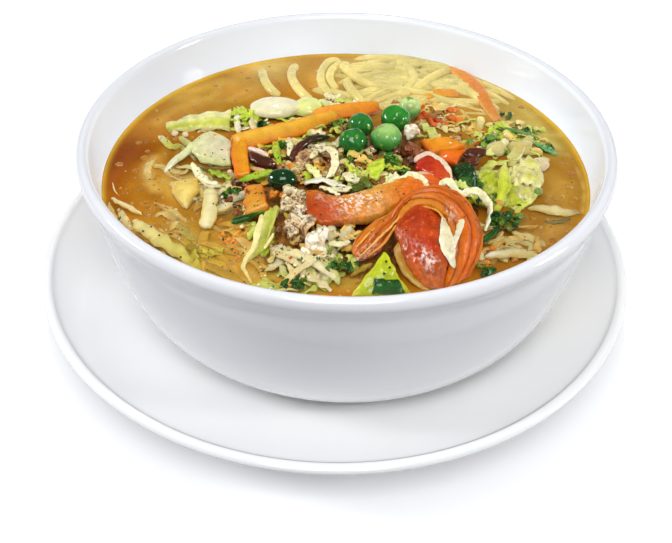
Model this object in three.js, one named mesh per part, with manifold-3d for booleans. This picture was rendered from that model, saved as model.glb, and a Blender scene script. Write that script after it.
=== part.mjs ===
// A bowl of noodle soup on its saucer: a white glazed bowl, clear golden broth up to its level,
// noodles and shredded cabbage heaped in it, and the vegetables, egg and tomato that lie on top.
// Millimetres, +Z up. The origin is the centre of the saucer's foot, on the table.
import * as THREE from 'three';
import { mergeVertices } from 'three/addons/utils/BufferGeometryUtils.js';
import Module from 'manifold-3d';

const wasm = await Module();
wasm.setup();

// Driving dimensions
const BOWL_RADIUS = 90;
const BOWL_HEIGHT = 74;
const BOWL_SHIFT = 3.3; // the bowl stands a little to one side of the saucer's middle
const SAUCER_RADIUS = 106.4;
const SAUCER_HEIGHT = 24.6;
const WELL_TOP = 6.5; // the saucer's middle, where the bowl stands
const SAUCER_FOOT = 63;
const BOWL_FOOT = 47.2;
const BOWL_FLOOR = 13.5;
const BROTH_LEVEL = 57;
const BROTH_RADIUS = 83.7; // of the bowl's inside at that level
const MOUTH_RADIUS = 85.3; // of the bowl's inside just under its lip
const FOOT_WALL = 5; // width of the bowl's and the saucer's foot rings
const GAP = 0.3; // between pieces that touch
const GLAZE = 0.15; // roughness of the porcelain
const MOIST = 0.35; // and of the food
const AROUND = 36; // facets round the bowl and the saucer

// Colours
const PORCELAIN = 0xf2f3f6;
const BROTH = 0xb9812f;
const NOODLE = 0xe8d898;
const CABBAGE = 0xd9dd9a;
const CABBAGE_GREEN = 0xb4c02c;
const CREAM = 0xe9e2b4;
const CARROT = 0xe8922a;
const TOMATO = 0xc8401a;
const PEA = 0x1f6b2c;
const EGG = 0xe2d6b4;
const MUSHROOM = 0x43200f;
const HERB = 0x1f4a1c;

function closedGeometry(positions, index) {
  const geometry = new THREE.BufferGeometry();
  geometry.setAttribute('position', new THREE.Float32BufferAttribute(positions, 3));
  geometry.setIndex(index);
  return geometry;
}

// A body through a row of rings with the same number of points, closed by a fan at either end.
function ringBody(rings) {
  const count = rings[0].length;
  const positions = [];
  const index = [];
  for (const ring of rings) {
    for (const point of ring) {
      positions.push(point.x, point.y, point.z);
    }
  }
  for (let row = 0; row + 1 < rings.length; row += 1) {
    for (let column = 0; column < count; column += 1) {
      const next = (column + 1) % count;
      const a = row * count + column;
      const b = row * count + next;
      const c = a + count;
      const d = b + count;
      index.push(a, b, d, a, d, c);
    }
  }
  const ends = [[0, rings[0], true], [(rings.length - 1) * count, rings[rings.length - 1], false]];
  for (const [start, ring, reversed] of ends) {
    const centre = new THREE.Vector3();
    for (const point of ring) {
      centre.addScaledVector(point, 1 / count);
    }
    const hub = positions.length / 3;
    positions.push(centre.x, centre.y, centre.z);
    for (let column = 0; column < count; column += 1) {
      const next = (column + 1) % count;
      if (reversed) {
        index.push(hub, start + next, start + column);
      } else {
        index.push(hub, start + column, start + next);
      }
    }
  }
  return closedGeometry(positions, index);
}

function toSolid(geometry) {
  const bare = geometry.index ? geometry.clone() : geometry.toNonIndexed();
  bare.deleteAttribute('normal');
  bare.deleteAttribute('uv');
  const merged = mergeVertices(bare, 1e-4);
  const mesh = new wasm.Mesh({
    numProp: 3,
    vertProperties: new Float32Array(merged.attributes.position.array),
    triVerts: new Uint32Array(merged.index.array),
  });
  return new wasm.Manifold(mesh);
}

function toGeometry(solid) {
  const mesh = solid.getMesh();
  const positions = [];
  for (let vertex = 0; vertex < mesh.numVert; vertex += 1) {
    const start = vertex * mesh.numProp;
    positions.push(...mesh.vertProperties.slice(start, start + 3));
  }
  return closedGeometry(positions, Array.from(mesh.triVerts));
}

// Smooth unevenness between -1 and 1 that depends on a place and a seed.
function uneven(x, y, z, seed) {
  const first = Math.sin(2.1 * x + 1.7 * seed) * Math.cos(1.6 * y - 0.9 * seed);
  const second = Math.sin(3.3 * y + 2.3 * z + seed) * 0.6;
  const third = Math.cos(4.1 * z - 2.7 * x + 2.9 * seed) * 0.4;
  return (first + second + third) / 2;
}

// A value along a piece, read between evenly spaced ones.
function between(values, t) {
  const place = t * (values.length - 1);
  const low = Math.min(Math.floor(place), values.length - 2);
  return THREE.MathUtils.lerp(values[low], values[low + 1], place - low);
}

// A strip of vegetable, noodle or leaf along a path. widths run from end to end, lean tips its face.
function strip({ path, widths, thick, lean = 0, sides = 6, steps = 5, square = 0.7 }, grow) {
  const points = path.map((p) => new THREE.Vector3(...p));
  const curve = new THREE.CatmullRomCurve3(points, false, 'centripetal');
  const rings = [];
  for (let step = 0; step <= steps; step += 1) {
    const t = step / steps;
    const along = curve.getTangentAt(t);
    const across = new THREE.Vector3().crossVectors(new THREE.Vector3(0, 0, 1), along).normalize();
    const face = new THREE.Vector3().crossVectors(along, across);
    across.applyAxisAngle(along, lean);
    face.applyAxisAngle(along, lean);
    const centre = curve.getPointAt(t);
    if (step === 0) {
      centre.addScaledVector(along, -grow);
    } else if (step === steps) {
      centre.addScaledVector(along, grow);
    }
    const halfWide = between(widths, t) / 2 + grow;
    const halfThick = thick / 2 + grow;
    const ring = [];
    for (let side = 0; side < sides; side += 1) {
      const angle = ((side + 0.5) / sides) * Math.PI * 2;
      const u = Math.sign(Math.cos(angle)) * Math.abs(Math.cos(angle)) ** square;
      const v = Math.sign(Math.sin(angle)) * Math.abs(Math.sin(angle)) ** square;
      ring.push(centre.clone().addScaledVector(across, u * halfWide).addScaledVector(face, v * halfThick));
    }
    rings.push(ring);
  }
  return toSolid(ringBody(rings));
}

// A rounded lump such as a pea, a curd of egg or a piece of mushroom.
function lump({ at, size, turn = 0, tip = 0, rough = 0, seed = 1, detail = 1 }, grow) {
  const ball = new THREE.IcosahedronGeometry(1, detail);
  ball.deleteAttribute('normal');
  ball.deleteAttribute('uv');
  const geometry = mergeVertices(ball, 1e-4);
  const position = geometry.attributes.position;
  const rotation = new THREE.Matrix4().makeRotationFromEuler(new THREE.Euler(tip, 0, turn, 'ZXY'));
  const point = new THREE.Vector3();
  for (let vertex = 0; vertex < position.count; vertex += 1) {
    point.fromBufferAttribute(position, vertex);
    const swell = 1 + rough * uneven(point.x, point.y, point.z, seed);
    point.set(
      point.x * (size[0] / 2 * swell + grow),
      point.y * (size[1] / 2 * swell + grow),
      point.z * (size[2] / 2 * swell + grow),
    );
    point.applyMatrix4(rotation);
    point.add(new THREE.Vector3(...at));
    position.setXYZ(vertex, point.x, point.y, point.z);
  }
  return toSolid(geometry);
}

// A low heap with an uneven outline and top, rounded underneath.
function heap({ at, reach, rise, sink, ripple, seed, rows = 4, spokes = 20 }, grow) {
  const underside = [0.45, 0.85, 1].map((share) => ({ share, upper: false }));
  const topside = [];
  for (let row = rows; row > 0; row -= 1) {
    topside.push({ share: row / rows, upper: true });
  }
  const rings = [];
  for (const { share, upper } of [...underside, ...topside]) {
    const ring = [];
    for (let spoke = 0; spoke < spokes; spoke += 1) {
      const angle = (spoke / spokes) * Math.PI * 2;
      const edge = 1 + 0.06 * Math.sin(3 * angle + seed) + 0.04 * Math.sin(5 * angle + 2 * seed);
      const x = Math.cos(angle) * (reach[0] * edge * share + grow);
      const y = Math.sin(angle) * (reach[1] * edge * share + grow);
      const wave = ripple * uneven(Math.cos(angle) * share * 5, Math.sin(angle) * share * 5, share, seed);
      const top = (rise + 1) * (1 - share ** 3) - 1 + wave * (1 - share ** 4) + grow;
      const under = -2 - sink * (1 - share ** 2.5) - grow;
      ring.push(new THREE.Vector3(at[0] + x, at[1] + y, upper ? top : under));
    }
    rings.push(ring);
  }
  return toSolid(ringBody(rings));
}

function lathe(profile, shift = 0) {
  const points = profile.map(([radius, height]) => new THREE.Vector2(radius, height));
  const geometry = new THREE.LatheGeometry(points, AROUND);
  geometry.rotateX(Math.PI / 2);
  geometry.translate(shift, 0, 0);
  return geometry;
}

function curvePoints(a, b, c, d, divisions) {
  const corners = [a, b, c, d].map(([radius, height]) => new THREE.Vector2(radius, height));
  return new THREE.CubicBezierCurve(...corners).getPoints(divisions).map((p) => [p.x, p.y]);
}

function ellipseArc(centre, radii, from, to, divisions) {
  const points = [];
  for (let step = 0; step <= divisions; step += 1) {
    const angle = THREE.MathUtils.lerp(from, to, step / divisions);
    points.push([centre[0] + radii[0] * Math.cos(angle), centre[1] + radii[1] * Math.sin(angle)]);
  }
  return points;
}

// The inside of the bowl, from the floor up to the lip
const LIP_HALF = [2.2, 2.6];
const LIP_MIDDLE = [BOWL_RADIUS - LIP_HALF[0], BOWL_HEIGHT - LIP_HALF[1]];
const INSIDE = curvePoints([46, BOWL_FLOOR + 0.3], [71.5, 14], [79.3, 19.5], [85.6, LIP_MIDDLE[1]], 5);

function bowlGeometry() {
  const outside = curvePoints([88.2, 66.4], [81.9, 16.4], [74.7, 9.5], [48, 9.3], 6);
  const foot = WELL_TOP + GAP;
  const hollow = foot + 2.2; // height of the underside within the foot ring
  const inner = BOWL_FOOT - FOOT_WALL + 0.8;
  const profile = [
    [0, hollow],
    [inner, hollow],
    [inner + 0.6, foot],
    [BOWL_FOOT, foot],
    ...outside.reverse(),
    ...ellipseArc(LIP_MIDDLE, LIP_HALF, -0.55, Math.PI, 4),
    ...INSIDE.slice(0, -1).reverse(),
    [0, BOWL_FLOOR],
  ];
  return lathe(profile);
}

function saucerGeometry() {
  const lip = [1.9, 1.5];
  const middle = [SAUCER_RADIUS - lip[0], SAUCER_HEIGHT - lip[1]];
  const under = curvePoints([64, 3.2], [75, 3.7], [91, 12.5], [middle[0] - 0.4, middle[1] - 2.3], 4);
  const edge = [middle[0] - lip[0], middle[1]];
  const top = curvePoints([50, WELL_TOP], [66, WELL_TOP + 0.1], [88, 14.5], edge, 5);
  const hollow = 2.6; // height of the underside within the foot ring
  const profile = [
    [0, hollow],
    [SAUCER_FOOT - FOOT_WALL - 1, hollow],
    [SAUCER_FOOT - FOOT_WALL, 0],
    [SAUCER_FOOT, 0],
    ...under,
    ...ellipseArc(middle, lip, -1, Math.PI * 0.8, 3),
    ...top.reverse(),
    [0, WELL_TOP],
  ];
  return lathe(profile);
}

// The room inside the bowl up to a height, with a small gap to the wall.
function insideSolid(top, topRadius) {
  const step = 3; // the wall's last ring stays this far below the top
  const wall = INSIDE.filter(([, height]) => height < top - step);
  const profile = [
    [0, BOWL_FLOOR + GAP],
    ...wall.map(([radius, height]) => [radius - GAP, height + GAP]),
    [topRadius - GAP, top],
    [0, top],
  ];
  const geometry = lathe(profile);
  geometry.translate(0, 0, -BROTH_LEVEL);
  return toSolid(geometry);
}

// The broth fills the bowl to its level.
function brothSolid() {
  return insideSolid(BROTH_LEVEL, BROTH_RADIUS);
}

// A wedge of tomato: the pulp, the fold of skin round its right side and the loose skin to its left.
function tomatoWedge(grow) {
  const pulp = lump(
    { at: [27, -49, 3], size: [31, 38, 15], turn: -0.15, rough: 0.06, seed: 3 },
    grow,
  );
  const fold = strip(
    {
      path: [[22, -30, 7], [33, -29, 6.5], [41, -38, 5], [42.5, -50, 3], [36, -63, 1]],
      widths: [7, 9, 10, 9, 6],
      thick: 6,
      steps: 7,
    },
    grow,
  );
  const skin = strip(
    {
      path: [[4, -53.5, 5.5], [12, -46, 7.5], [20, -36, 8.5], [28, -29, 8]],
      widths: [8, 11, 10, 6],
      thick: 2.6,
      lean: 0.35,
    },
    grow,
  );
  return pulp.add(fold).add(skin);
}

// What lies on the heap, topmost first. Places are in the bowl's axis and from the broth's level.
const TOPPINGS = [];

function addLump(name, colour, shape) {
  TOPPINGS.push({ name, colour, make: (grow) => lump(shape, grow) });
}

function addStrip(name, colour, shape) {
  TOPPINGS.push({ name, colour, make: (grow) => strip(shape, grow) });
}

// Green peas, each by its place and how far across it is, and the dark bean beside them
const PEAS = [
  [2.2, 2.6, 8, 9.2],
  [5, 16.3, 7, 8.4],
  [13.5, 5, 9, 10],
  [18, 20, 8, 9.8],
  [23.7, 30.8, 6, 7],
];
PEAS.forEach(([x, y, z, across], number) => {
  const size = [across, across, across * 0.96];
  addLump(`pea_${number + 1}`, PEA, { at: [x, y, z], size });
});
addLump('pea_dark', PEA, { at: [-20.7, -20.5, 8], size: [9.6, 7.6, 7], turn: 0.1 });

TOPPINGS.push({ name: 'tomato_wedge', colour: TOMATO, make: tomatoWedge });
addStrip('tomato_slice', TOMATO, {
  path: [[-12.5, -36.9, 7.5], [-1.5, -37.6, 7.6], [11, -32, 8.4], [23.4, -24.5, 9.6]],
  widths: [8.4, 8.6, 7.6, 5],
  thick: 4.4,
  lean: 0.25,
  steps: 7,
});
addStrip('tomato_back', TOMATO, {
  path: [[24.6, -4, 5.4], [31.5, -7.5, 6.4], [37.6, -15.5, 5.8]],
  widths: [6, 9, 5],
  thick: 4,
});

// Thin curled ribbons of cabbage
addStrip('ribbon_left', CREAM, {
  path: [[10.6, -19.5, 8.6], [16.8, -17.6, 9.4], [21.5, -16.6, 10], [27, -20, 11.6], [29.5, -27.5, 13]],
  widths: [2.4, 3, 3, 2.8, 2],
  thick: 1.1,
  steps: 7,
  lean: 0.5,
});
addStrip('ribbon_right', CREAM, {
  path: [
    [33.6, -24.4, 11.4],
    [36.5, -22.6, 12],
    [39.4, -26, 11],
    [43.4, -25.4, 10.6],
    [46.8, -30.4, 8.4],
    [45, -39.4, 4],
  ],
  widths: [2.4, 2.6, 3, 3, 2.8, 2],
  thick: 1.1,
  steps: 9,
  lean: 0.6,
});

// Carrot: strips, a square chunk, a spiced block and the pieces at the far side
addStrip('carrot_strip_long', CARROT, {
  path: [[-39.5, 9, 5.4], [-30.3, 13, 5.3], [-18.3, 17, 5.7], [-9.2, 22.6, 5.8], [1, 27.2, 5.2]],
  widths: [4.4, 4.6, 4.4, 4.2, 3.8],
  thick: 3,
  sides: 4,
  square: 0,
});
addStrip('carrot_strip_cross', CARROT, {
  path: [[-38.2, 4.5, 2.6], [-36.3, -3.6, 4], [-34, -14, 5]],
  widths: [5.2, 5.2, 4.8],
  thick: 3,
  sides: 4,
  square: 0,
});
addStrip('carrot_chunk', CARROT, {
  path: [[27.4, 6.4, 5.4], [34.5, 4.4, 5.8], [41.4, 1, 5]],
  widths: [7.4, 8.6, 8],
  thick: 5.6,
  sides: 4,
  square: 0,
});
addStrip('carrot_spiced', CARROT, {
  path: [[-32.8, -24.5, 4.6], [-28.4, -25.6, 5.2], [-23.4, -26.4, 5.4]],
  widths: [9, 9.6, 8.4],
  thick: 5.8,
  sides: 4,
  square: 0,
});
addStrip('carrot_far_long', CARROT, {
  path: [[40.6, 71, 0.4], [49.4, 57, 0.6], [53, 45, 0.4], [54.4, 35.5, -0.6]],
  widths: [3.6, 5.4, 5.4, 4.6],
  thick: 2.6,
  sides: 4,
  square: 0,
});
addStrip('carrot_far_short', CARROT, {
  path: [[30.4, 50.2, 0.2], [36.6, 52.6, 0.4], [43, 53, 0]],
  widths: [3.6, 6.2, 5],
  thick: 2.2,
  sides: 4,
  square: 0,
  steps: 4,
});

// Curds of egg, each by its place, length, width, height and turn
const EGGS = [
  [-10, -4, 6, 12.4, 10.4, 7.4, 0.3],
  [-16.4, -30, 7, 8.6, 8, 6, 1.1],
  [-14.6, -41.6, 6.6, 8.8, 9.6, 6.4, 0.6],
  [-8.4, -50.6, 6, 8.4, 9, 6, -0.5],
  [22.6, 11.6, 6.4, 6.4, 5.6, 5, 0.8],
  [-19.4, -52, 2.6, 8, 6, 5, 0.2],
];
EGGS.forEach(([x, y, z, long, wide, high, turn], number) => {
  const size = [long, wide, high];
  const shape = { at: [x, y, z], size, turn, rough: 0.22, seed: number + 2 };
  addLump(`egg_${number + 1}`, EGG, shape);
});

// Mushroom and a small piece of browned meat
addStrip('mushroom_strip', MUSHROOM, {
  path: [[-18.4, -4.6, 7.6], [-15, 3.4, 8], [-9, 6.8, 8], [-4.4, 8, 7.4]],
  widths: [2.4, 3.4, 3.4, 2],
  thick: 2.4,
});
addLump('mushroom_left', MUSHROOM, {
  at: [-28.4, -3, 4.4],
  size: [11.6, 5.4, 4.4],
  turn: -0.5,
  rough: 0.15,
  seed: 5,
});
addLump('mushroom_right', MUSHROOM, {
  at: [44.6, -1.6, 5],
  size: [8, 5.4, 5],
  turn: 0.2,
  rough: 0.15,
  seed: 7,
});
addLump('meat_brown', MUSHROOM, {
  at: [21.4, 1.6, 5.8],
  size: [6.4, 6.4, 5.4],
  rough: 0.15,
  seed: 9,
});

// Cabbage: the thick stem slab, leaves and wedges
addStrip('cabbage_slab', CABBAGE, {
  path: [[-46.5, 15.4, 3], [-47, 5, 3.4], [-46, -5.4, 2.6]],
  widths: [9, 13.4, 11],
  thick: 3.2,
});
addStrip('cabbage_edge_left', CABBAGE_GREEN, {
  path: [[-65, 20.6, 1.2], [-57, 25, 1.6], [-47, 29, 2.2], [-38, 30, 2.6]],
  widths: [4, 5.4, 5.6, 5],
  thick: 2.4,
});
addStrip('cabbage_wedge_front', CABBAGE_GREEN, {
  path: [[12, -56, 6.8], [11, -60.6, 4], [10.4, -67, 0.4]],
  widths: [3, 11.4, 19],
  thick: 2.6,
});
addStrip('cabbage_curl', CABBAGE_GREEN, {
  path: [[-21.4, -31.4, 6.6], [-25, -37.4, 5.4], [-26.6, -47.6, 3.4], [-29.6, -55, 0.8]],
  widths: [3.4, 5.4, 5, 3.4],
  thick: 2,
  lean: -0.4,
});
addStrip('cabbage_pointed', CABBAGE_GREEN, {
  path: [[55, 3.4, 3.2], [52.4, -11, 4.4], [49.6, -22.4, 4.2], [47.8, -29, 2.6]],
  widths: [1.6, 5.4, 6, 4.6],
  thick: 2,
});
addStrip('cabbage_right', CABBAGE_GREEN, {
  path: [[44.4, -14.4, 2], [52, -17.4, 1.4], [56, -24, 0.6]],
  widths: [6, 9, 8],
  thick: 4,
});
addStrip('cabbage_pale_right', CABBAGE, {
  path: [[60.8, 1.4, 0.8], [63, -8.6, 1.4], [62.4, -19, 0.4]],
  widths: [8, 10.4, 8],
  thick: 3,
});

// Onion, and the pale pieces that float in the broth
addLump('onion_oval', CREAM, { at: [-28.4, 34.4, 2.6], size: [19.6, 12, 7.4], turn: 0.05 });
addLump('onion_half', CREAM, { at: [-14, 35.8, 2], size: [11.4, 11, 5.6] });
addStrip('onion_strip_left', CREAM, {
  path: [[-66.6, -34.6, 0.3], [-59, -39.6, 0.6], [-52, -46.6, 0.6], [-47, -55, 0]],
  widths: [5.2, 5, 4.6, 3.6],
  thick: 1.8,
});
addStrip('onion_strip_middle', CREAM, {
  path: [[-44.4, -20.6, 2.2], [-43.4, -30.6, 2.4], [-44.6, -40, 1.4]],
  widths: [4.8, 5.4, 4.4],
  thick: 2.2,
});
addStrip('onion_amber', CREAM, {
  path: [[-56.6, -15.4, 0.2], [-52, -21.4, 1], [-49.4, -28, 0.6]],
  widths: [6, 8.6, 4],
  thick: 2.6,
});
addStrip('onion_rib_right', CREAM, {
  path: [[43.6, -49, 2], [50.6, -48.6, 1.4], [61, -47.6, 0.2]],
  widths: [2.6, 4, 2.6],
  thick: 2.2,
});
addStrip('onion_spindle', CREAM, {
  path: [[59.6, -24, 0.2], [68, -24.6, 0.8], [75.6, -26.6, 0.2]],
  widths: [2, 4.4, 1.6],
  thick: 1.8,
});
addStrip('onion_stub_left', CREAM, {
  path: [[-77, -22.6, 0.3], [-72, -26.6, 0.7], [-67.4, -30.6, 0.4]],
  widths: [1.6, 2, 1.6],
  thick: 1.6,
  steps: 4,
});
// Pale pieces, each by its place, length, width and height
const PALE = [
  [54, 11.8, 1, 6.6, 7.6, 4],
  [62.4, 12.4, 0.6, 8, 9, 3.6],
  [68.4, 2.4, 0.4, 6, 6.4, 3],
];
PALE.forEach(([x, y, z, long, wide, high], number) => {
  addLump(`onion_pale_${number + 1}`, CREAM, { at: [x, y, z], size: [long, wide, high], seed: number });
});

// Chopped greens
addStrip('stem_green', HERB, {
  path: [[-37, -37.6, 2.8], [-30.8, -35.6, 3.8], [-25.6, -33.6, 4.4]],
  widths: [2.4, 2.4, 2],
  thick: 1.8,
  steps: 4,
});
addLump('leaf_dark_right', HERB, {
  at: [39.4, -10.4, 4.6],
  size: [9, 9.6, 4],
  turn: 0.5,
  rough: 0.2,
  seed: 11,
});
addLump('leaf_cluster_right', HERB, {
  at: [51.4, -33.4, 2.4],
  size: [9.4, 6, 4.6],
  turn: -0.3,
  rough: 0.25,
  seed: 13,
});

const HEAPS = [
  {
    name: 'noodle_heap',
    colour: NOODLE,
    make: (grow) => heap(
      { at: [3, -14], reach: [49, 55], rise: 4.6, sink: 20, ripple: 0.9, seed: 2 },
      grow,
    ),
  },
  {
    name: 'noodles_far',
    colour: NOODLE,
    make: (grow) => heap(
      { at: [8, 58], reach: [42, 17], rise: 1.4, sink: 8, ripple: 0.7, seed: 5, rows: 3 },
      grow,
    ),
  },
];

function meets(a, b) {
  const first = a.boundingBox();
  const second = b.boundingBox();
  return [0, 1, 2].every((i) => first.min[i] < second.max[i] && second.min[i] < first.max[i]);
}

function largestPiece(solid) {
  const pieces = solid.decompose();
  pieces.sort((a, b) => b.volume() - a.volume());
  return pieces[0];
}

function finish(name, colour, geometry, roughness) {
  const material = new THREE.MeshStandardMaterial({ color: colour, roughness, metalness: 0 });
  const mesh = new THREE.Mesh(geometry, material);
  mesh.name = name;
  return mesh;
}

// Each piece is cut round the pieces that lie on or in it.
function foodGroup() {
  const group = new THREE.Group();
  const cutters = [];
  const items = [...TOPPINGS, ...HEAPS, { name: 'broth', colour: BROTH, make: brothSolid }];
  const inside = insideSolid(BOWL_HEIGHT, MOUTH_RADIUS);
  for (const { name, colour, make } of items) {
    let solid = make(0).intersect(inside);
    for (const cutter of cutters) {
      if (meets(solid, cutter)) {
        solid = solid.subtract(cutter);
      }
    }
    cutters.push(make(GAP));
    group.add(finish(name, colour, toGeometry(largestPiece(solid)), MOIST));
  }
  group.position.set(0, 0, BROTH_LEVEL);
  return group;
}

const served = new THREE.Group();
served.position.set(BOWL_SHIFT, 0, 0);
served.add(finish('bowl', PORCELAIN, bowlGeometry(), GLAZE));
served.add(foodGroup());

const dish = new THREE.Group();
dish.add(finish('saucer', PORCELAIN, saucerGeometry(), GLAZE));
dish.add(served);

export default dish;
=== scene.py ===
import bmesh
import bpy
import math
import numpy as np
from mathutils import Matrix, Vector


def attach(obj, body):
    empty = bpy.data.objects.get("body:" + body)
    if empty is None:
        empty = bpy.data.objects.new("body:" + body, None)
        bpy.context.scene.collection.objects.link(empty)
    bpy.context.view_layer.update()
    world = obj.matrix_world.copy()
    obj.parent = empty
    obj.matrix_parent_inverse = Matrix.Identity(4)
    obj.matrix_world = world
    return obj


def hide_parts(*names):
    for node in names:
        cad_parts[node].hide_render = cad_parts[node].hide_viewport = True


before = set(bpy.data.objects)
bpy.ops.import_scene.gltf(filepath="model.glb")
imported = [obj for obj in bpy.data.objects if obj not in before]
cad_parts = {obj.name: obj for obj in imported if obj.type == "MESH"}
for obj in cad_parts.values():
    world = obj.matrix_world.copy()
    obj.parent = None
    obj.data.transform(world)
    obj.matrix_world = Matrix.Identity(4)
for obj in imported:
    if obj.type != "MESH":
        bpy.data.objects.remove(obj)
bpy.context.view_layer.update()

# The looks of a bowl of noodle soup on its saucer.
# Lengths are millimetres until a mesh is made. Heights of food are from the broth's level.
# Places given by the picture are (x, y) in its 672 by 543 pixels, then the height of the food there.
mm = 0.001

dish = {
    "bowlShift": 3.3,       # the bowl stands a little to one side of the saucer's middle
    "brothLevel": 57.0,
    "wellTop": 6.5,         # the saucer's middle, where the bowl stands
    "bowlFloor": 13.5,
    "around": 192,
}

picture = {
    "width": 672,
    "height": 543,
    "focal": 900.0,         # in the picture's pixels
    "eye": (3.3, -264.2, 233.1),
    "down": 40.36,          # degrees
    "yaw": -0.63,
    "roll": 0.92,
}

# Numbers, noise and colours

def unit(vectors):
    length = np.linalg.norm(vectors, axis=-1, keepdims=True)
    return vectors / np.maximum(length, 1e-9)


def tone(red, green, blue):
    # a colour as the eye reads it, 0 to 255, made linear
    values = np.array([red, green, blue], float) / 255
    return np.where(values < 0.04045, values / 12.92, ((values + 0.055) / 1.055) ** 2.4)


def grain(points, size, seed, octaves=2):
    # smooth unevenness between -1 and 1 with bumps about this size
    total = np.zeros(len(points))
    weight = 1.0
    for octave in range(octaves):
        place = points / size * 2 ** octave + 17.3 * (seed + octave)
        cell = np.floor(place).astype(np.int64)
        part = place - cell
        part = part * part * (3 - 2 * part)
        for corner in range(8):
            offset = np.array([corner & 1, corner >> 1 & 1, corner >> 2 & 1])
            key = (cell + offset) * np.array([73856093, 19349663, 83492791])
            mixed = key[:, 0] ^ key[:, 1] ^ key[:, 2] ^ (seed * 9176 + octave * 131)
            mixed = ((mixed ^ (mixed >> 13)) * 1274126177) & 0x7fffffff
            value = ((mixed ^ (mixed >> 15)) & 0xffff) / 32767.5 - 1
            share = np.where(offset, part, 1 - part).prod(axis=1)
            total += weight * value * share
        weight *= 0.5
    return total * 1.2


def curveThrough(points, count):
    # evenly spaced places on a smooth curve through the points
    points = np.asarray(points, float)
    if len(points) == 2:
        dense = points
    else:
        padded = np.vstack([2 * points[0] - points[1], points, 2 * points[-1] - points[-2]])
        share = np.linspace(0, 1, 14, endpoint=False)[:, None]
        rows = []
        for first in range(len(points) - 1):
            a, b, c, d = padded[first:first + 4]
            bent = (2 * a - 5 * b + 4 * c - d) * share ** 2 + (3 * b - a - 3 * c + d) * share ** 3
            rows.append(b + ((c - a) * share + bent) / 2)
        dense = np.vstack(rows + [points[-1:]])
    steps = np.linalg.norm(np.diff(dense, axis=0), axis=1)
    reach = np.concatenate([[0], np.cumsum(steps)])
    want = np.linspace(0, reach[-1], count)
    return np.stack([np.interp(want, reach, column) for column in dense.T], axis=1)


def bezier(a, b, c, d, count):
    share = np.linspace(0, 1, count)[:, None]
    a, b, c, d = (np.array(p, float) for p in (a, b, c, d))
    left = (1 - share) ** 3 * a + 3 * (1 - share) ** 2 * share * b
    return left + 3 * (1 - share) * share ** 2 * c + share ** 3 * d


def arc(centre, half, start, end, count):
    angle = np.linspace(start, end, count)
    return np.stack([centre[0] + half[0] * np.cos(angle), centre[1] + half[1] * np.sin(angle)], axis=1)


# The camera, and where a pixel of its picture lies on the food

def pictureAxes():
    down, yaw, roll = (math.radians(picture[key]) for key in ("down", "yaw", "roll"))
    ahead = np.array([math.sin(yaw) * math.cos(down), math.cos(yaw) * math.cos(down), -math.sin(down)])
    level = np.array([math.cos(yaw), -math.sin(yaw), 0.0])
    over = np.cross(level, ahead)
    right = level * math.cos(roll) + over * math.sin(roll)
    up = over * math.cos(roll) - level * math.sin(roll)
    return right, up, ahead


def spots(places):
    # (x, y, height) triples of the picture become points of the food
    places = np.atleast_2d(np.asarray(places, float))
    right, up, ahead = pictureAxes()
    eye = np.array(picture["eye"])
    across = (places[:, :1] - picture["width"] / 2) / picture["focal"]
    over = (picture["height"] / 2 - places[:, 1:2]) / picture["focal"]
    ray = ahead + right * across + up * over
    level = dish["brothLevel"] + places[:, 2]
    return eye + ray * ((level - eye[2]) / ray[:, 2])[:, None]


def makeCamera():
    right, up, ahead = (Vector(axis) for axis in pictureAxes())
    camera = bpy.data.cameras.new("camera")
    camera.sensor_width = 36.0
    camera.lens = picture["focal"] * camera.sensor_width / picture["width"]
    camera.clip_start = 0.01
    holder = bpy.data.objects.new("camera", camera)
    bpy.context.scene.collection.objects.link(holder)
    turned = Matrix((right, up, -ahead)).transposed().to_4x4()
    holder.matrix_world = Matrix.Translation(Vector(picture["eye"]) * mm) @ turned
    bpy.context.scene.camera = holder


# Meshes. A shape is its points, its faces and where each point lies along, across and through it.

def newBatch():
    return {"points": [], "faces": [], "tints": [], "count": 0}


def enclosed(points, faces):
    total = 0.0
    for corners in faces:
        for second in range(1, corners.shape[1] - 1):
            a, b, c = (points[corners[:, k]] for k in (0, second, second + 1))
            total += np.einsum("ij,ij->i", a, np.cross(b, c)).sum()
    return total


def addShape(batch, shape, tints):
    points, faces = shape["points"], shape["faces"]
    centred = points - points.mean(axis=0)
    if enclosed(centred, faces) < 0:
        faces = [corners[:, ::-1] for corners in faces]
    for corners in faces:
        batch["faces"].extend((corners + batch["count"]).tolist())
    batch["points"].append(points)
    batch["tints"].append(np.broadcast_to(tints, points.shape))
    batch["count"] += len(points)


def finishPiece(name, mesh, tints, material, replaced=()):
    mesh.polygons.foreach_set("use_smooth", np.ones(len(mesh.polygons), bool))
    layer = mesh.color_attributes.new(name="tint", type="FLOAT_COLOR", domain="POINT")
    colours = np.ones((len(tints), 4))
    colours[:, :3] = np.clip(tints, 0, 1)
    layer.data.foreach_set("color", colours.ravel())
    mesh.materials.clear()
    mesh.materials.append(material)
    mesh.update()
    piece = bpy.data.objects.new(name, mesh)
    bpy.context.scene.collection.objects.link(piece)
    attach(piece, "root")
    if replaced:
        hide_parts(*replaced)
    return piece


def makePiece(name, batch, material, replaced=()):
    mesh = bpy.data.meshes.new(name)
    points = np.vstack(batch["points"]) * mm
    mesh.from_pydata(points.tolist(), [], batch["faces"])
    return finishPiece(name, mesh, np.vstack(batch["tints"]), material, replaced)


def meshPoints(mesh):
    points = np.empty(3 * len(mesh.vertices))
    mesh.vertices.foreach_get("co", points)
    return points.reshape(-1, 3)


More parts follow.
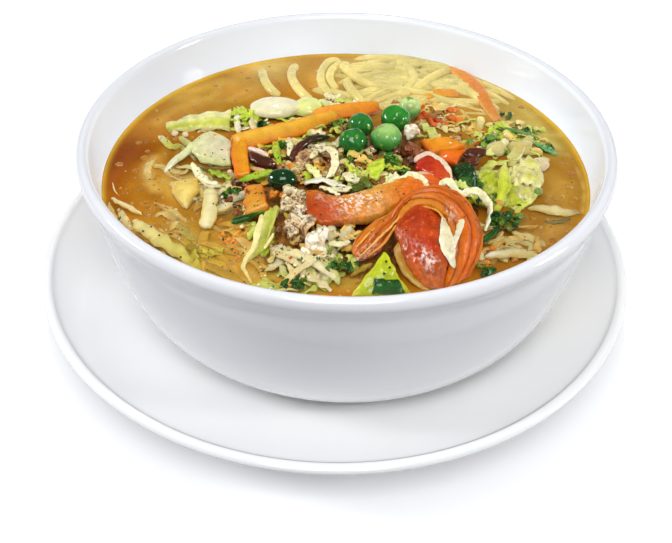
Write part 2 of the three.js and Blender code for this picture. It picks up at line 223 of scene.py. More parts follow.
def ringFaces(rows, columns):
    # the faces between rings of points, closed by a fan at either end
    row, column = np.meshgrid(np.arange(rows - 1), np.arange(columns), indexing="ij")
    row, column = row.ravel(), column.ravel()
    following = (column + 1) % columns
    a, b = row * columns + column, row * columns + following
    quads = np.stack([a, b, b + columns, a + columns], axis=1)
    ring = np.arange(columns)
    onward = (ring + 1) % columns
    hub = np.full(columns, rows * columns)
    last = (rows - 1) * columns
    ends = np.vstack([
        np.stack([hub, onward, ring], axis=1),
        np.stack([hub + 1, last + ring, last + onward], axis=1),
    ])
    return [quads, ends]


def turned(profile, shift=0.0, around=0):
    # a closed body of revolution from an outline that starts and ends on the axis
    profile = np.asarray(profile, float)
    inner = profile[1:-1]
    angle = np.linspace(0, 2 * math.pi, around or dish["around"], endpoint=False)
    points = np.empty((len(inner), len(angle), 3))
    points[:, :, 0] = inner[:, :1] * np.cos(angle) + shift
    points[:, :, 1] = inner[:, :1] * np.sin(angle)
    points[:, :, 2] = inner[:, 1:2]
    hubs = [[shift, 0, profile[0, 1]], [shift, 0, profile[-1, 1]]]
    return {
        "points": np.vstack([points.reshape(-1, 3), hubs]),
        "faces": ringFaces(len(inner), len(angle)),
    }


# Node trees: nodes by name, each with its kind, its settings and the values of its inputs, then their joints

mixFirst, mixSecond, mixed = 6, 7, 2     # the colour sockets of a Mix node


def placeNodes(tree, wanted):
    made = {}
    for name, given in wanted.items():
        kind, settings, values = (*given, {}, {})[:3]
        node = tree.nodes.new(kind)
        for setting, value in settings.items():
            setattr(node, setting, value)
        for socket, value in values.items():
            node.inputs[socket].default_value = value
        made[name] = node
    return made


def joinNodes(tree, nodes, joints):
    for start, output, end, entry in joints:
        tree.links.new(nodes[start].outputs[output], nodes[end].inputs[entry])


def geometryTree(name, entry, kinds, result):
    # a tree with one geometry in, named values beside it and one geometry out
    tree = bpy.data.node_groups.new(name, "GeometryNodeTree")
    face = tree.interface
    face.new_socket(entry, in_out="INPUT", socket_type="NodeSocketGeometry")
    sockets = {
        word: face.new_socket(word, in_out="INPUT", socket_type="NodeSocket" + kind).identifier
        for word, kind in kinds.items()
    }
    face.new_socket(result, in_out="OUTPUT", socket_type="NodeSocketGeometry")
    return tree, sockets


def grownMesh(name, data, tree, sockets, values):
    # the plain mesh that a tree gives on a carrier with this data; the carrier goes away
    carrier = bpy.data.objects.new("carrier", data)
    bpy.context.scene.collection.objects.link(carrier)
    growth = carrier.modifiers.new("growth", "NODES")
    growth.node_group = tree
    for word, value in values.items():
        growth[sockets[word]] = value
    bpy.context.view_layer.update()
    graph = bpy.context.evaluated_depsgraph_get()
    mesh = bpy.data.meshes.new_from_object(carrier.evaluated_get(graph))
    mesh.name = name
    carrier.modifiers.clear()
    bpy.data.objects.remove(carrier)
    (bpy.data.curves if isinstance(data, bpy.types.Curve) else bpy.data.meshes).remove(data)
    return mesh


# Materials

def newMaterial(name):
    material = bpy.data.materials.new(name)
    material.use_nodes = True
    nodes = material.node_tree.nodes
    nodes.clear()
    output = nodes.new("ShaderNodeOutputMaterial")
    shader = nodes.new("ShaderNodeBsdfPrincipled")
    material.node_tree.links.new(shader.outputs["BSDF"], output.inputs["Surface"])
    return material, shader


def unevenGroup():
    # two sizes of soft noise on the object's own coordinates: a shade, a roughness and a height
    tree = bpy.data.node_groups.new("softUnevenness", "ShaderNodeTree")
    entries = {
        "Broad": 200.0, "Fine": 1200.0, "Fine Share": 0.5, "Darkest": 0.8, "Lightest": 1.15, "Smooth": 0.15,
        "Rough": 0.4,
    }
    for name, value in entries.items():
        entry = tree.interface.new_socket(name=name, in_out="INPUT", socket_type="NodeSocketFloat")
        entry.default_value = value
    for name in ("Shade", "Height", "Roughness"):
        tree.interface.new_socket(name=name, in_out="OUTPUT", socket_type="NodeSocketFloat")
    stretch = {"From Min": 0.3, "From Max": 0.7}
    nodes = placeNodes(tree, {
        "given": ("NodeGroupInput",),
        "result": ("NodeGroupOutput",),
        "place": ("ShaderNodeTexCoord",),
        "broad": ("ShaderNodeTexNoise", {}, {"Detail": 2.0}),
        "fine": ("ShaderNodeTexNoise", {}, {"Detail": 3.0}),
        "blend": ("ShaderNodeMix",),
        "shade": ("ShaderNodeMapRange", {}, stretch),
        "roughness": ("ShaderNodeMapRange", {}, stretch),
    })
    joinNodes(tree, nodes, [
        ("place", "Object", "broad", "Vector"),
        ("given", "Broad", "broad", "Scale"),
        ("place", "Object", "fine", "Vector"),
        ("given", "Fine", "fine", "Scale"),
        ("given", "Fine Share", "blend", "Factor"),
        ("broad", "Fac", "blend", "A"),
        ("fine", "Fac", "blend", "B"),
        ("blend", "Result", "result", "Height"),
        ("blend", "Result", "shade", "Value"),
        ("given", "Darkest", "shade", "To Min"),
        ("given", "Lightest", "shade", "To Max"),
        ("shade", "Result", "result", "Shade"),
        ("blend", "Result", "roughness", "Value"),
        ("given", "Smooth", "roughness", "To Min"),
        ("given", "Rough", "roughness", "To Max"),
        ("roughness", "Result", "result", "Roughness"),
    ])
    return tree


uneven = unevenGroup()
paleBounce = (0.8, 0.8, 0.82)


def unevenMaterial(name, look):
    # a material whose colour comes from the piece's tint and whose surface is softly uneven
    material, shader = newMaterial(name)
    tree = material.node_tree
    nodes = placeNodes(tree, {
        "tint": ("ShaderNodeAttribute", {"attribute_name": "tint"}),
        "group": ("ShaderNodeGroup", {"node_tree": uneven}, {
            "Broad": 1 / (look["broad"] * mm),
            "Fine": 1 / (look["fine"] * mm),
            "Fine Share": look.get("fineShare", 0.5),
            "Darkest": look["shade"][0],
            "Lightest": look["shade"][1],
            "Smooth": look["rough"][0],
            "Rough": look["rough"][1],
        }),
        "shaded": ("ShaderNodeMix", {"data_type": "RGBA", "blend_type": "MULTIPLY"}, {"Factor": 1.0}),
        "bump": ("ShaderNodeBump", {}, {"Strength": look["bump"], "Distance": look["depth"] * mm}),
    })
    joinNodes(tree, {**nodes, "shader": shader}, [
        ("tint", "Color", "shaded", mixFirst),
        ("group", "Shade", "shaded", mixSecond),
        ("shaded", mixed, "shader", "Base Color"),
        ("group", "Roughness", "shader", "Roughness"),
        ("group", "Height", "bump", "Height"),
        ("bump", "Normal", "shader", "Normal"),
    ])
    values = {
        "Coat Weight": look["coat"],
        "Coat Roughness": look.get("coatRough", 0.05),
        "IOR": look.get("ior", 1.45),
        "Specular IOR Level": look.get("mirror", 0.3),
        "Alpha": look.get("clear", 1.0),
    }
    if look.get("inner"):
        values["Subsurface Weight"] = look["inner"]
        values["Subsurface Radius"] = look["glow"]
        values["Subsurface Scale"] = look["innerDepth"] * mm
    for socket, value in values.items():
        shader.inputs[socket].default_value = value
    if look.get("pale"):
        throwBack(material, paleBounce, look["pale"])
    return material


def throwBack(material, shade, share, mirrored=0.0):
    # light thrown on other things takes this shade, in part, and so may the mirror image in the glaze
    tree = material.node_tree
    base = tree.nodes["Principled BSDF"].inputs["Base Color"]
    nodes = placeNodes(tree, {
        "path": ("ShaderNodeLightPath",),
        "seen": ("ShaderNodeMath", {"operation": "MULTIPLY_ADD"}, {1: mirrored}),
        "part": ("ShaderNodeMath", {"operation": "MULTIPLY"}, {1: share}),
        "mix": ("ShaderNodeMix", {"data_type": "RGBA"}, {
            mixFirst: base.default_value,
            mixSecond: (*shade, 1),
        }),
    })
    if base.is_linked:
        tree.links.new(base.links[0].from_socket, nodes["mix"].inputs[mixFirst])
    joinNodes(tree, nodes, [
        ("path", "Is Glossy Ray", "seen", 0),
        ("path", "Is Diffuse Ray", "seen", 2),
        ("seen", "Value", "part", 0),
        ("part", "Value", "mix", "Factor"),
    ])
    tree.links.new(nodes["mix"].outputs[mixed], base)


def zoned(points, tint, zones, height=0.0):
    # one tint with soft zones of other colours over it, placed at this height over the broth
    tints = np.tile(tone(*tint), (len(points), 1))
    for place, reach, colour, strength in zones.values():
        centre = spots([(*place, height)])[0]
        apart = np.linalg.norm((points - centre)[:, :2], axis=1) / reach
        share = strength * np.exp(-apart ** 2)[:, None]
        tints = tints * (1 - share) + tone(*colour) * share
    return tints


makeCamera()
print("camera placed")

# The bowl and its saucer: white glazed porcelain

porcelain = {
    # the bowl's inside is painted lighter than its outside, as painted light and shade, and its far-left
    # inside zone is painted shade
    "outsideShadedTint": tone(225, 226, 230),
    "insideLitTint": (241, 245, 250),
    "insideShadeZones": {"farLeft": ((160, 88), 52, (212, 213, 217), 0.9)},
    "saucerTint": (234, 235, 236),
    # the saucer's zones paint light beside the bowl and at the front, shade on its far-left rim and a warm
    # reflection on its right
    "saucerLightAndShadeZones": {
        "left": ((134, 305), 23, (255, 255, 255), 0.9),
        "frontLeft": ((165, 362), 28, (253, 253, 254), 0.8),
        "frontRight": ((470, 402), 30, (246, 246, 246), 0.7),
        "right": ((560, 325), 26, (246, 244, 240), 0.7),
        "farLeft": ((62, 245), 22, (246, 242, 238), 0.7),
    },
    "bounce": (0.88, 0.88, 0.88),
    "broad": 45.0, "fine": 6.0, "fineShare": 0.25, "shade": (0.99, 1.01), "rough": (0.08, 0.14),
    "bump": 0.12, "depth": 0.12, "coat": 0.6, "coatRough": 0.04, "ior": 1.5,
}
bowlShape = {
    "foot": 47.2,
    "footWall": 4.2,
    "hollow": 9.0,           # height of the underside within the foot ring
    "outside": ((88.2, 66.4), (81.9, 16.4), (74.7, 9.5), (48.0, 9.3)),
    "inside": ((46.0, 13.8), (71.5, 14.0), (79.3, 19.5), (85.6, 71.4)),
    "lipMiddle": (87.8, 71.4),
    "lipHalf": (2.2, 2.6),
    "lipFrom": -0.55,        # radians
}
saucerShape = {
    "foot": 63.0,
    "footWall": 5.0,
    "hollow": 2.6,
    "under": ((64.0, 3.2), (75.0, 3.7), (91.0, 12.5), (104.1, 20.8)),
    "top": ((50.0, 6.5), (66.0, 6.6), (88.0, 14.5), (102.6, 23.1)),
    "lipMiddle": (104.5, 23.1),
    "lipHalf": (1.9, 1.5),
}


def wallRadius(height):
    inside = bezier(*bowlShape["inside"], 80)
    return np.interp(height, inside[:, 1], inside[:, 0])


def footRing(radius, wall, ground, hollow):
    # a foot with rounded edges, from the hollow out to its outer side
    soft = 0.5
    inner = radius - wall
    return np.vstack([
        [[0, hollow], [inner * 0.5, hollow], [inner - 1.2, hollow]],
        arc((inner - 0.6, hollow - 0.6), (0.6, 0.6), math.pi / 2, 0, 4),
        arc((inner + soft + 0.3, ground + soft), (soft, soft), math.pi, math.pi * 1.5, 5),
        arc((radius - soft, ground + soft), (soft, soft), math.pi * 1.5, math.pi * 2, 5),
    ])


def bowlProfile():
    ground = dish["wellTop"] + 0.3
    foot = footRing(bowlShape["foot"], bowlShape["footWall"], ground, bowlShape["hollow"])
    outside = bezier(*bowlShape["outside"], 44)[::-1]
    lip = arc(bowlShape["lipMiddle"], bowlShape["lipHalf"], bowlShape["lipFrom"], math.pi, 20)
    inside = bezier(*bowlShape["inside"], 40)[::-1]
    floor = [[30, dish["bowlFloor"] + 0.05], [15, dish["bowlFloor"]], [0, dish["bowlFloor"]]]
    return np.vstack([foot, outside, lip, inside[1:], floor])


def saucerProfile():
    foot = footRing(saucerShape["foot"], saucerShape["footWall"], 0.0, saucerShape["hollow"])
    under = bezier(*saucerShape["under"], 24)
    lip = arc(saucerShape["lipMiddle"], saucerShape["lipHalf"], -1.0, math.pi * 0.93, 18)
    top = bezier(*saucerShape["top"], 36)[::-1]
    well = [[35, dish["wellTop"]], [18, dish["wellTop"]], [0, dish["wellTop"]]]
    return np.vstack([foot, under, lip, top[1:], well])


def bowlTints(points):
    radius = np.linalg.norm(points[:, :2] - [dish["bowlShift"], 0], axis=1)
    inner = (points[:, 2] > dish["bowlFloor"] - 1) & (radius < wallRadius(points[:, 2]) + 0.8)
    # the inside takes the lighter painted-light tint with its painted shade zone, the outside the darker
    # painted-shade tint
    insideLitTints = zoned(points, porcelain["insideLitTint"], porcelain["insideShadeZones"])
    return np.where(inner[:, None], insideLitTints, porcelain["outsideShadedTint"])


def saucerTints(points):
    wellHeight = dish["wellTop"] - dish["brothLevel"]
    # soft zones of painted light, shade and warm reflection over the saucer's tint
    return zoned(points, porcelain["saucerTint"], porcelain["saucerLightAndShadeZones"], wellHeight)


def makePorcelain(name, form, tints, node):
    batch = newBatch()
    addShape(batch, form, tints(form["points"]))
    makePiece(name, batch, glaze, (node,))


glaze = unevenMaterial("porcelainGlaze", porcelain)
throwBack(glaze, porcelain["bounce"], 1.0)
makePorcelain("glazedBowl", turned(bowlProfile(), dish["bowlShift"]), bowlTints, "bowl")
makePorcelain("glazedSaucer", turned(saucerProfile()), saucerTints, "saucer")
print("bowl and saucer made")

# The broth

broth = {
    "rings": 96,
    "around": 380,
    "meniscus": 1.0,         # how far it climbs the wall
    "climb": 2.4,            # over this distance
    "tint": (172, 108, 22),
    "edgeTint": (226, 182, 62),
    "edgeReach": 1.1,
    "edgeShare": 0.75,
    "ripple": 0.12,
    "bounceShare": 1.0,
    "mirrored": 0.5,
    "bounceTint": (0.88, 0.89, 0.92),
    "broad": 14.0, "fine": 0.7, "fineShare": 0.5, "shade": (0.8, 1.12), "rough": (0.04, 0.1),
    "bump": 0.15, "depth": 0.12, "coat": 0.02, "ior": 1.33, "mirror": 0.1,
    # soft zones of colour: picture place, reach in millimetres, colour, strength
    "zones": {
        "leftDark": ((128, 165), 16, (140, 62, 8), 0.95),
        "leftDarkNear": ((120, 182), 10, (146, 66, 8), 0.8),
        "leftDarkFar": ((118, 150), 9, (130, 56, 8), 0.8),
        "leftNear": ((140, 205), 12, (152, 86, 16), 0.7),
        "leftGlow": ((150, 172), 8, (200, 146, 56), 0.5),
        "leftMiddle": ((160, 190), 14, (168, 100, 8), 0.7),
        "farLeftWide": ((205, 95), 20, (174, 128, 36), 0.9),
        "farLeft": ((165, 118), 12, (180, 124, 40), 0.8),
        "farLeftInner": ((245, 88), 12, (196, 140, 50), 0.8),
        "farMiddle": ((285, 84), 10, (178, 112, 24), 0.8),
        "farSpot": ((308, 80), 5, (176, 98, 20), 0.7),
        "farGold": ((310, 76), 12, (196, 134, 14), 0.9),
        "farPale": ((270, 68), 11, (222, 190, 104), 0.9),
        "farNoodles": ((400, 72), 28, (214, 186, 100), 0.95),
        "farRight": ((460, 100), 18, (196, 138, 50), 0.85),
        "farRightOuter": ((510, 105), 14, (176, 150, 66), 0.85),
        "rightFar": ((545, 140), 16, (158, 136, 50), 0.85),
        "right": ((565, 190), 14, (152, 112, 36), 0.9),
        "rightNear": ((560, 235), 14, (164, 114, 42), 0.8),
        "rightFront": ((520, 255), 12, (164, 112, 40), 0.7),
        "frontLeft": ((195, 270), 14, (180, 130, 26), 0.7),
        "frontLeftInner": ((225, 255), 13, (190, 126, 28), 0.8),
        "front": ((250, 285), 14, (170, 116, 26), 0.7),
        "leftFront": ((150, 235), 12, (192, 132, 38), 0.8),
        "leftInner": ((190, 225), 14, (190, 140, 44), 0.8),
    },
    # what lies just under the surface: picture path, width in millimetres, colour, strength
    "sunk": {
        "leftArc": (((155, 158), (148, 168), (149, 180), (156, 190)), 4.5, (222, 180, 92), 0.8),
        "leftInner": (((166, 150), (160, 165), (163, 182), (172, 196)), 4.5, (196, 142, 48), 0.7),
        "amberGlow": (((168, 182), (182, 196), (196, 186)), 8.0, (224, 178, 74), 0.7),
        "leftMiddle": (((198, 180), (212, 191), (228, 204)), 11.0, (238, 206, 116), 0.9),
        "leftFront": (((174, 222), (186, 232), (198, 244)), 5.0, (206, 172, 82), 0.75),
        "oliveMass": (((188, 246), (206, 250), (224, 254)), 9.0, (190, 162, 46), 0.8),
        "thinWall": (((122, 214), (138, 236), (158, 252), (178, 264)), 1.8, (214, 164, 74), 0.7),
        "frontLeft": (((196, 262), (222, 276), (252, 288)), 6.0, (204, 170, 78), 0.75),
        "frontStrip": (((214, 232), (228, 250), (240, 272)), 4.0, (212, 150, 56), 0.7),
        "frontPale": (((232, 232), (244, 246), (262, 268)), 5.0, (214, 180, 96), 0.6),
        "farLeft": (((178, 98), (206, 86), (246, 78)), 7.0, (202, 160, 66), 0.7),
        "farLeftLow": (((158, 122), (178, 108), (210, 100)), 5.0, (200, 156, 66), 0.6),
        "leftWide": (((134, 186), (146, 204), (166, 214)), 7.0, (186, 128, 38), 0.6),
        "rightSoft": (((548, 172), (562, 192), (562, 214)), 7.0, (186, 140, 56), 0.7),
        "rightFront": (((512, 246), (536, 240), (560, 230)), 6.0, (190, 142, 66), 0.7),
        "rightFar": (((508, 118), (530, 130), (548, 146)), 8.0, (184, 168, 80), 0.7),
        # a pale line down the broth's right edge: painted highlight
        "rightEdge": (((577, 168), (584, 190), (582, 212)), 1.2, (222, 186, 96), 0.5),
    },
    # strokes thrown by chance: picture oval, how many, heading, length and width, colours, strength
    "drifting": {
        "frontLeft": ((206, 252), (52, 30), 26, 38, 44, 3.2,
                      ((214, 170, 70), (200, 156, 46), (176, 122, 30)), 0.7),
        "left": ((172, 190), (22, 36), 10, 60, 34, 3.2, ((190, 130, 34), (196, 142, 46)), 0.5),
        "front": ((300, 280), (60, 14), 16, 10, 34, 3.0, ((206, 166, 76), (190, 160, 60)), 0.6),
        "right": ((548, 214), (30, 34), 12, 100, 34, 3.0, ((196, 156, 76), (170, 130, 56)), 0.6),
        "farRight": ((530, 130), (34, 24), 10, 40, 40, 3.4, ((196, 176, 92), (204, 180, 100)), 0.6),
        "farLeft": ((215, 96), (50, 14), 8, -14, 50, 3.4, ((192, 148, 54), (202, 164, 72)), 0.5),
    },
}


def driftLines(areas):
    # more such strokes thrown over ovals of the picture
    chance = np.random.default_rng(77)
    found = {}
    for name, (at, reach, count, heading, long, wide, tones, strength) in areas.items():
        for number in range(count):
            turn, apart = chance.uniform(0, 2 * math.pi), math.sqrt(chance.uniform(0, 1))
            place = np.array(at) + np.array(reach) * apart * [math.cos(turn), math.sin(turn)]
            angle = math.radians(heading + chance.normal(0, 22))
            along = np.array([math.cos(angle), math.sin(angle) * 0.6]) * long * chance.uniform(0.6, 1.2) / 2
            bend = np.array([-along[1], along[0]]) * chance.normal(0, 0.25)
            path = tuple(tuple(stop) for stop in (place - along, place + bend, place + along))
            found[f"{name}{number}"] = (path, wide * chance.uniform(0.6, 1.3),
                                        tones[chance.integers(len(tones))],
                                        strength * chance.uniform(0.5, 1.0))
    return found


def strokes(points, tints, lines):
    # soft strokes of colour where something lies just under the surface
    for path, wide, colour, strength in lines.values():
        stops = curveThrough(spots([(*place, 0.0) for place in path]), 24)
        apart = np.min(np.linalg.norm(points[:, None, :2] - stops[None, :, :2], axis=2), axis=1)
        share = strength * np.exp(-(apart / (wide / 2)) ** 2)[:, None]
        tints = tints * (1 - share) + tone(*colour) * share
    return tints


def brothShape():
    level = dish["brothLevel"]
    rim = wallRadius(level + broth["meniscus"]) + 0.25
    share = np.linspace(0, 1, broth["rings"] + 1)[1:]
    radius = rim * share ** 0.85
    climb = broth["meniscus"] * np.clip(1 - (rim - radius) / broth["climb"], 0, 1) ** 2
    top = np.stack([radius, level + climb], axis=1)
    under = [[wallRadius(z) + 0.2, z] for z in np.linspace(level - 0.5, dish["bowlFloor"] + 1.5, 14)]
    profile = np.vstack([[[0, level]], top, under, [[0, dish["bowlFloor"] + 0.6]]])
    return turned(profile, dish["bowlShift"], broth["around"])


def makeBroth():
    shape = brothShape()
    points = shape["points"]
    tints = zoned(points, broth["tint"], broth["zones"])
    tints = strokes(points, tints, {**driftLines(broth["drifting"]), **broth["sunk"]})
    tints = tints * (1 + broth["ripple"] * grain(points * [1, 1, 0], 9.0, 4, 3))[:, None]
    # the lighter band where the broth meets the wall is partly thin broth over the glaze and partly a
    # painted reflection
    radius = np.linalg.norm(points[:, :2] - [dish["bowlShift"], 0], axis=1)
    fromWall = (wallRadius(dish["brothLevel"]) - radius) / broth["edgeReach"]
    edge = broth["edgeShare"] * np.exp(-fromWall ** 2)[:, None]
    tints = tints * (1 - edge) + tone(*broth["edgeTint"]) * edge
    batch = newBatch()
    addShape(batch, shape, tints)
    material = unevenMaterial("goldenBroth", broth)
    throwBack(material, broth["bounceTint"], broth["bounceShare"], broth["mirrored"])
    makePiece("clearBroth", batch, material, ("broth",))


makeBroth()
print("broth made")

# Shapes of food

def strand(path, widths, thick, lean=0.0, twist=0.0, ruffle=0.0, waves=5.0, sides=10, steps=26,
           square=0.75, blunt=0.35, rough=0.0, roughSize=2.0, seed=0):
    # a strip, shred or noodle along a path of points; lean and twist turn its face, in radians
    line = curveThrough(path, steps + 1)
    length = np.linalg.norm(np.diff(line, axis=0), axis=1).sum()
    tangent = unit(np.gradient(line, axis=0))
    across = unit(np.cross([0.0, 0.0, 1.0], tangent))
    face = np.cross(tangent, across)
    share = np.linspace(0, 1, steps + 1)
    angle = np.interp(share, np.linspace(0, 1, np.size(lean)), np.atleast_1d(lean)) + twist * share
    cosine, sine = np.cos(angle)[:, None], np.sin(angle)[:, None]
    across, face = across * cosine + face * sine, face * cosine - across * sine
    half = np.interp(share, np.linspace(0, 1, len(widths)), widths) / 2
    ends = np.clip(np.minimum(share, 1 - share) * length / (0.7 * thick), 0, 1)
    slim = blunt + (1 - blunt) * np.sqrt(ends)
    turn = (np.arange(sides) + 0.5) / sides * 2 * math.pi
    side = np.sign(np.cos(turn)) * np.abs(np.cos(turn)) ** square
    over = np.sign(np.sin(turn)) * np.abs(np.sin(turn)) ** square
    points = line[:, None] + across[:, None] * (half * slim)[:, None, None] * side[None, :, None]
    points = points + face[:, None] * (thick / 2 * slim)[:, None, None] * over[None, :, None]
    wave = np.sin(2 * math.pi * waves * share[:, None] + 1.3 * side[None, :] + seed)
    points = points + face[:, None] * (ruffle * wave * np.abs(side))[:, :, None]
    points = np.vstack([points.reshape(-1, 3), points[0].mean(axis=0), points[-1].mean(axis=0)])
    along = np.concatenate([np.repeat(share, sides), [0, 1]])
    acrossShare = np.concatenate([np.tile(side, steps + 1), [0, 0]])
    shape = {
        "points": points,
        "faces": ringFaces(steps + 1, sides),
        "along": along,
        "across": acrossShare,
        "depth": np.zeros(len(points)),
    }
    return shaken(shape, rough, roughSize, seed)


def shaken(shape, rough, size, seed):
    # the same shape with its points moved by soft noise
    if rough:
        points = shape["points"]
        moved = [grain(points, size, seed + 3 * axis + 1) for axis in range(3)]
        shape["points"] = points + rough * np.stack(moved, axis=1)
    return shape


def patch(left, right, thick, bulge=0.0, rows=20, columns=14, ruffle=0.0, waves=3.0, thinEdge=0.3,
          ridges=0, ridgeDepth=0.0, rough=0.0, roughSize=3.0, seed=0):
    # a leaf or slice between two edges that run side by side
    first, second = curveThrough(left, rows + 1), curveThrough(right, rows + 1)
    across = np.linspace(0, 1, columns + 1)
    along = np.linspace(0, 1, rows + 1)
    middle = first[:, None] * (1 - across)[None, :, None] + second[:, None] * across[None, :, None]
    normal = unit(np.cross(np.gradient(middle, axis=0), np.gradient(middle, axis=1)))
    if normal[..., 2].sum() < 0:
        normal = -normal
    sag = np.sin(math.pi * across)[None, :] * np.sqrt(np.sin(math.pi * np.clip(along, 0.02, 0.98)))[:, None]
    wave = np.sin(2 * math.pi * (waves * along[:, None] + 0.6 * across[None, :]) + seed)
    lift = bulge * sag + ruffle * wave * np.abs(2 * across - 1)[None, :] ** 1.5
    valley = np.zeros(lift.shape)
    if ridges:
        sway, swing = 0.35 * np.sin(4.0 * along + seed), 0.5 * np.sin(2.4 * along * ridges)
        drift = sway[:, None] + swing[:, None] * across[None, :]
        crest = np.abs(np.sin(math.pi * (ridges * across[None, :] + drift)))
        hill = np.sin(math.pi * np.clip(along, 0.03, 0.97)) ** 0.4
        lift = lift + ridgeDepth * (crest - 0.5) * hill[:, None]
        valley = (1 - crest) ** 2.5
    middle = middle + normal * lift[..., None]
    border = np.minimum(np.minimum(across, 1 - across)[None, :] * columns,
                        np.minimum(along, 1 - along)[:, None] * rows)
    half = thick / 2 * (thinEdge + (1 - thinEdge) * np.sqrt(np.clip(border / 1.6, 0, 1)))
    top = (middle + normal * half[..., None]).reshape(-1, 3)
    bottom = (middle - normal * half[..., None]).reshape(-1, 3)
    index = np.arange((rows + 1) * (columns + 1)).reshape(rows + 1, columns + 1)
    a, b, c, d = (index[i:rows + i, j:columns + j].ravel() for i, j in ((0, 0), (0, 1), (1, 1), (1, 0)))
    count = index.size
    upper = np.stack([a, b, c, d], axis=1)
    rim = np.concatenate([index[0, :-1], index[:-1, -1], index[-1, :0:-1], index[:0:-1, 0]])
    onward = np.roll(rim, -1)
    skirt = np.stack([onward, rim, rim + count, onward + count], axis=1)
    shape = {
        "points": np.vstack([top, bottom]),
        "faces": [np.vstack([upper, upper[:, ::-1] + count, skirt])],
        "along": np.tile(np.repeat(along, columns + 1), 2),
        "across": np.tile(np.tile(2 * across - 1, rows + 1), 2),
        "depth": np.tile(valley.ravel(), 2),
    }
    return shaken(shape, rough, roughSize, seed)


ballStore = {}


def ball(detail):
    # the points and faces of a round ball made of triangles
    if detail not in ballStore:
        mesh = bpy.data.meshes.new("ballTemplate")
        form = bmesh.new()
        bmesh.ops.create_icosphere(form, subdivisions=detail, radius=1.0)
        form.to_mesh(mesh)
        form.free()
        points = np.array([vertex.co[:] for vertex in mesh.vertices])
        faces = np.array([polygon.vertices[:] for polygon in mesh.polygons])
        bpy.data.meshes.remove(mesh)
        ballStore[detail] = (unit(points), faces)
    return ballStore[detail]


def lump(at, size, turn=0.0, rough=0.2, folds=0.0, foldSize=0.5, seed=0, detail=4):
    # a pea, curd or crumb: a ball with soft swellings and creased folds
    points, faces = ball(detail)
    swell = 1 + rough * grain(points, 0.9, seed)
    crease = np.abs(grain(points, foldSize, seed + 31, 3)) if folds else np.zeros(len(points))
    radius = swell - folds * (1 - np.minimum(crease * 2.2, 1))
    shaped = points * radius[:, None] * np.array(size) / 2
    c, s = math.cos(turn), math.sin(turn)
    shaped = shaped @ np.array([[c, s, 0], [-s, c, 0], [0, 0, 1]])
    return {
        "points": shaped + np.asarray(at, float),
        "faces": [faces],
        # along runs from the bottom to the top, so tones given darker first paint the underside in shade
        "along": (points[:, 2] + 1) / 2,
        "across": points[:, 0],
        # depth marks the creases, which a deep colour paints darker, as painted shade
        "depth": np.clip(1 - crease * 2.2, 0, 1) if folds else np.zeros(len(points)),
    }


def block(corners, thick, rows=12, columns=8, soft=0.5, rough=0.12, roughSize=2.5, seed=0):
    # a cut block with softened edges: four corners of its top, in order, and its thickness
    corners = np.asarray(corners, float)
    shape = patch([corners[0], corners[3]], [corners[1], corners[2]], 0.0, rows=rows, columns=columns)
    count = len(shape["points"]) // 2
    flat = shape["points"][:count]
    along, across = shape["along"][:count], shape["across"][:count]
    border = np.minimum(np.minimum(along, 1 - along) * rows, (1 - np.abs(across)) / 2 * columns)
    drop = soft * (1 - np.clip(border, 0, 1))
    normal = unit(np.cross(corners[1] - corners[0], corners[3] - corners[0]))
    normal = normal if normal[2] > 0 else -normal
    middle = flat.mean(axis=0)
    inward = (middle - flat) * (0.05 * (1 - np.clip(border, 0, 1)))[:, None]
    top = flat - normal * drop[:, None]
    bottom = flat + inward - normal * thick
    shape["points"] = np.vstack([top, bottom])
    # the bottom takes depth 1, so a deep colour paints the underside darker, as painted shade
    shape["depth"] = np.concatenate([np.zeros(count), np.ones(count)])
    return shaken(shape, rough, roughSize, seed)


def paint(shape, tones, edge=None, reach=3.0, mottle=0.08, mottleSize=2.0, lines=0.0, lineCount=7.0,
          deep=None, fleck=None, fleckShare=0.3, fleckSize=1.0, sideTones=None, sideShare=0.5,
          shine=None, shineTone=(255, 246, 232), shineSize=0.6, seed=0):
    # colours of a shape: tones from end to end and from side to side, edges, lines, creases darkened as
    # painted shade, flecks, and wet glints painted as highlights
    points = shape["points"]
    rows = np.array([tone(*colour) for colour in tones])
    stops = np.linspace(0, 1, len(rows))
    tints = np.stack([np.interp(shape["along"], stops, rows[:, k]) for k in range(3)], axis=1)
    if sideTones is not None:
        rows = np.array([tone(*colour) for colour in sideTones])
        stops = np.linspace(-1, 1, len(rows))
        aside = np.stack([np.interp(shape["across"], stops, rows[:, k]) for k in range(3)], axis=1)
        tints = tints * (1 - sideShare) + aside * sideShare
    if edge is not None:
        share = (np.abs(shape["across"]) ** reach)[:, None]
        tints = tints * (1 - share) + tone(*edge) * share
    if lines:
        strip = np.stack([shape["across"] * lineCount, shape["along"] * 1.5, 0 * shape["along"]], axis=1)
        tints = tints * (1 + lines * grain(strip, 1.0, seed + 5))[:, None]
    # creases, valleys and undersides take the deep colour: painted shade
    if deep is not None:
        share = (shape["depth"] ** 1.5)[:, None]
        tints = tints * (1 - share) + tone(*deep) * share
    if mottle:
        tints = tints * (1 + mottle * grain(points, mottleSize, seed + 11))[:, None]
    if fleck is not None:
        share = np.clip((grain(points, fleckSize, seed + 23, 1) - (1 - 2 * fleckShare)) * 4, 0, 1)[:, None]
        tints = tints * (1 - share) + tone(*fleck) * share
    for place, reach, most in shine or ():
        # painted highlights: wet glints, broken up, round a place
        apart = np.linalg.norm((points - spots([place])[0])[:, :2], axis=1) / reach
        speckled = np.clip((grain(points, shineSize, seed + 29, 2) - 0.12) * 4, 0, 1)
        share = (most * np.exp(-apart ** 2) * speckled)[:, None]
        tints = tints * (1 - share) + tone(*shineTone) * share
    return tints


# The heap's height, and places on it

heap = {
    "middle": (6.3, -14.0),
    "reach": (49.0, 55.0),
    "rise": 6.4,
    "edge": -0.8,
    "power": 2.4,
}


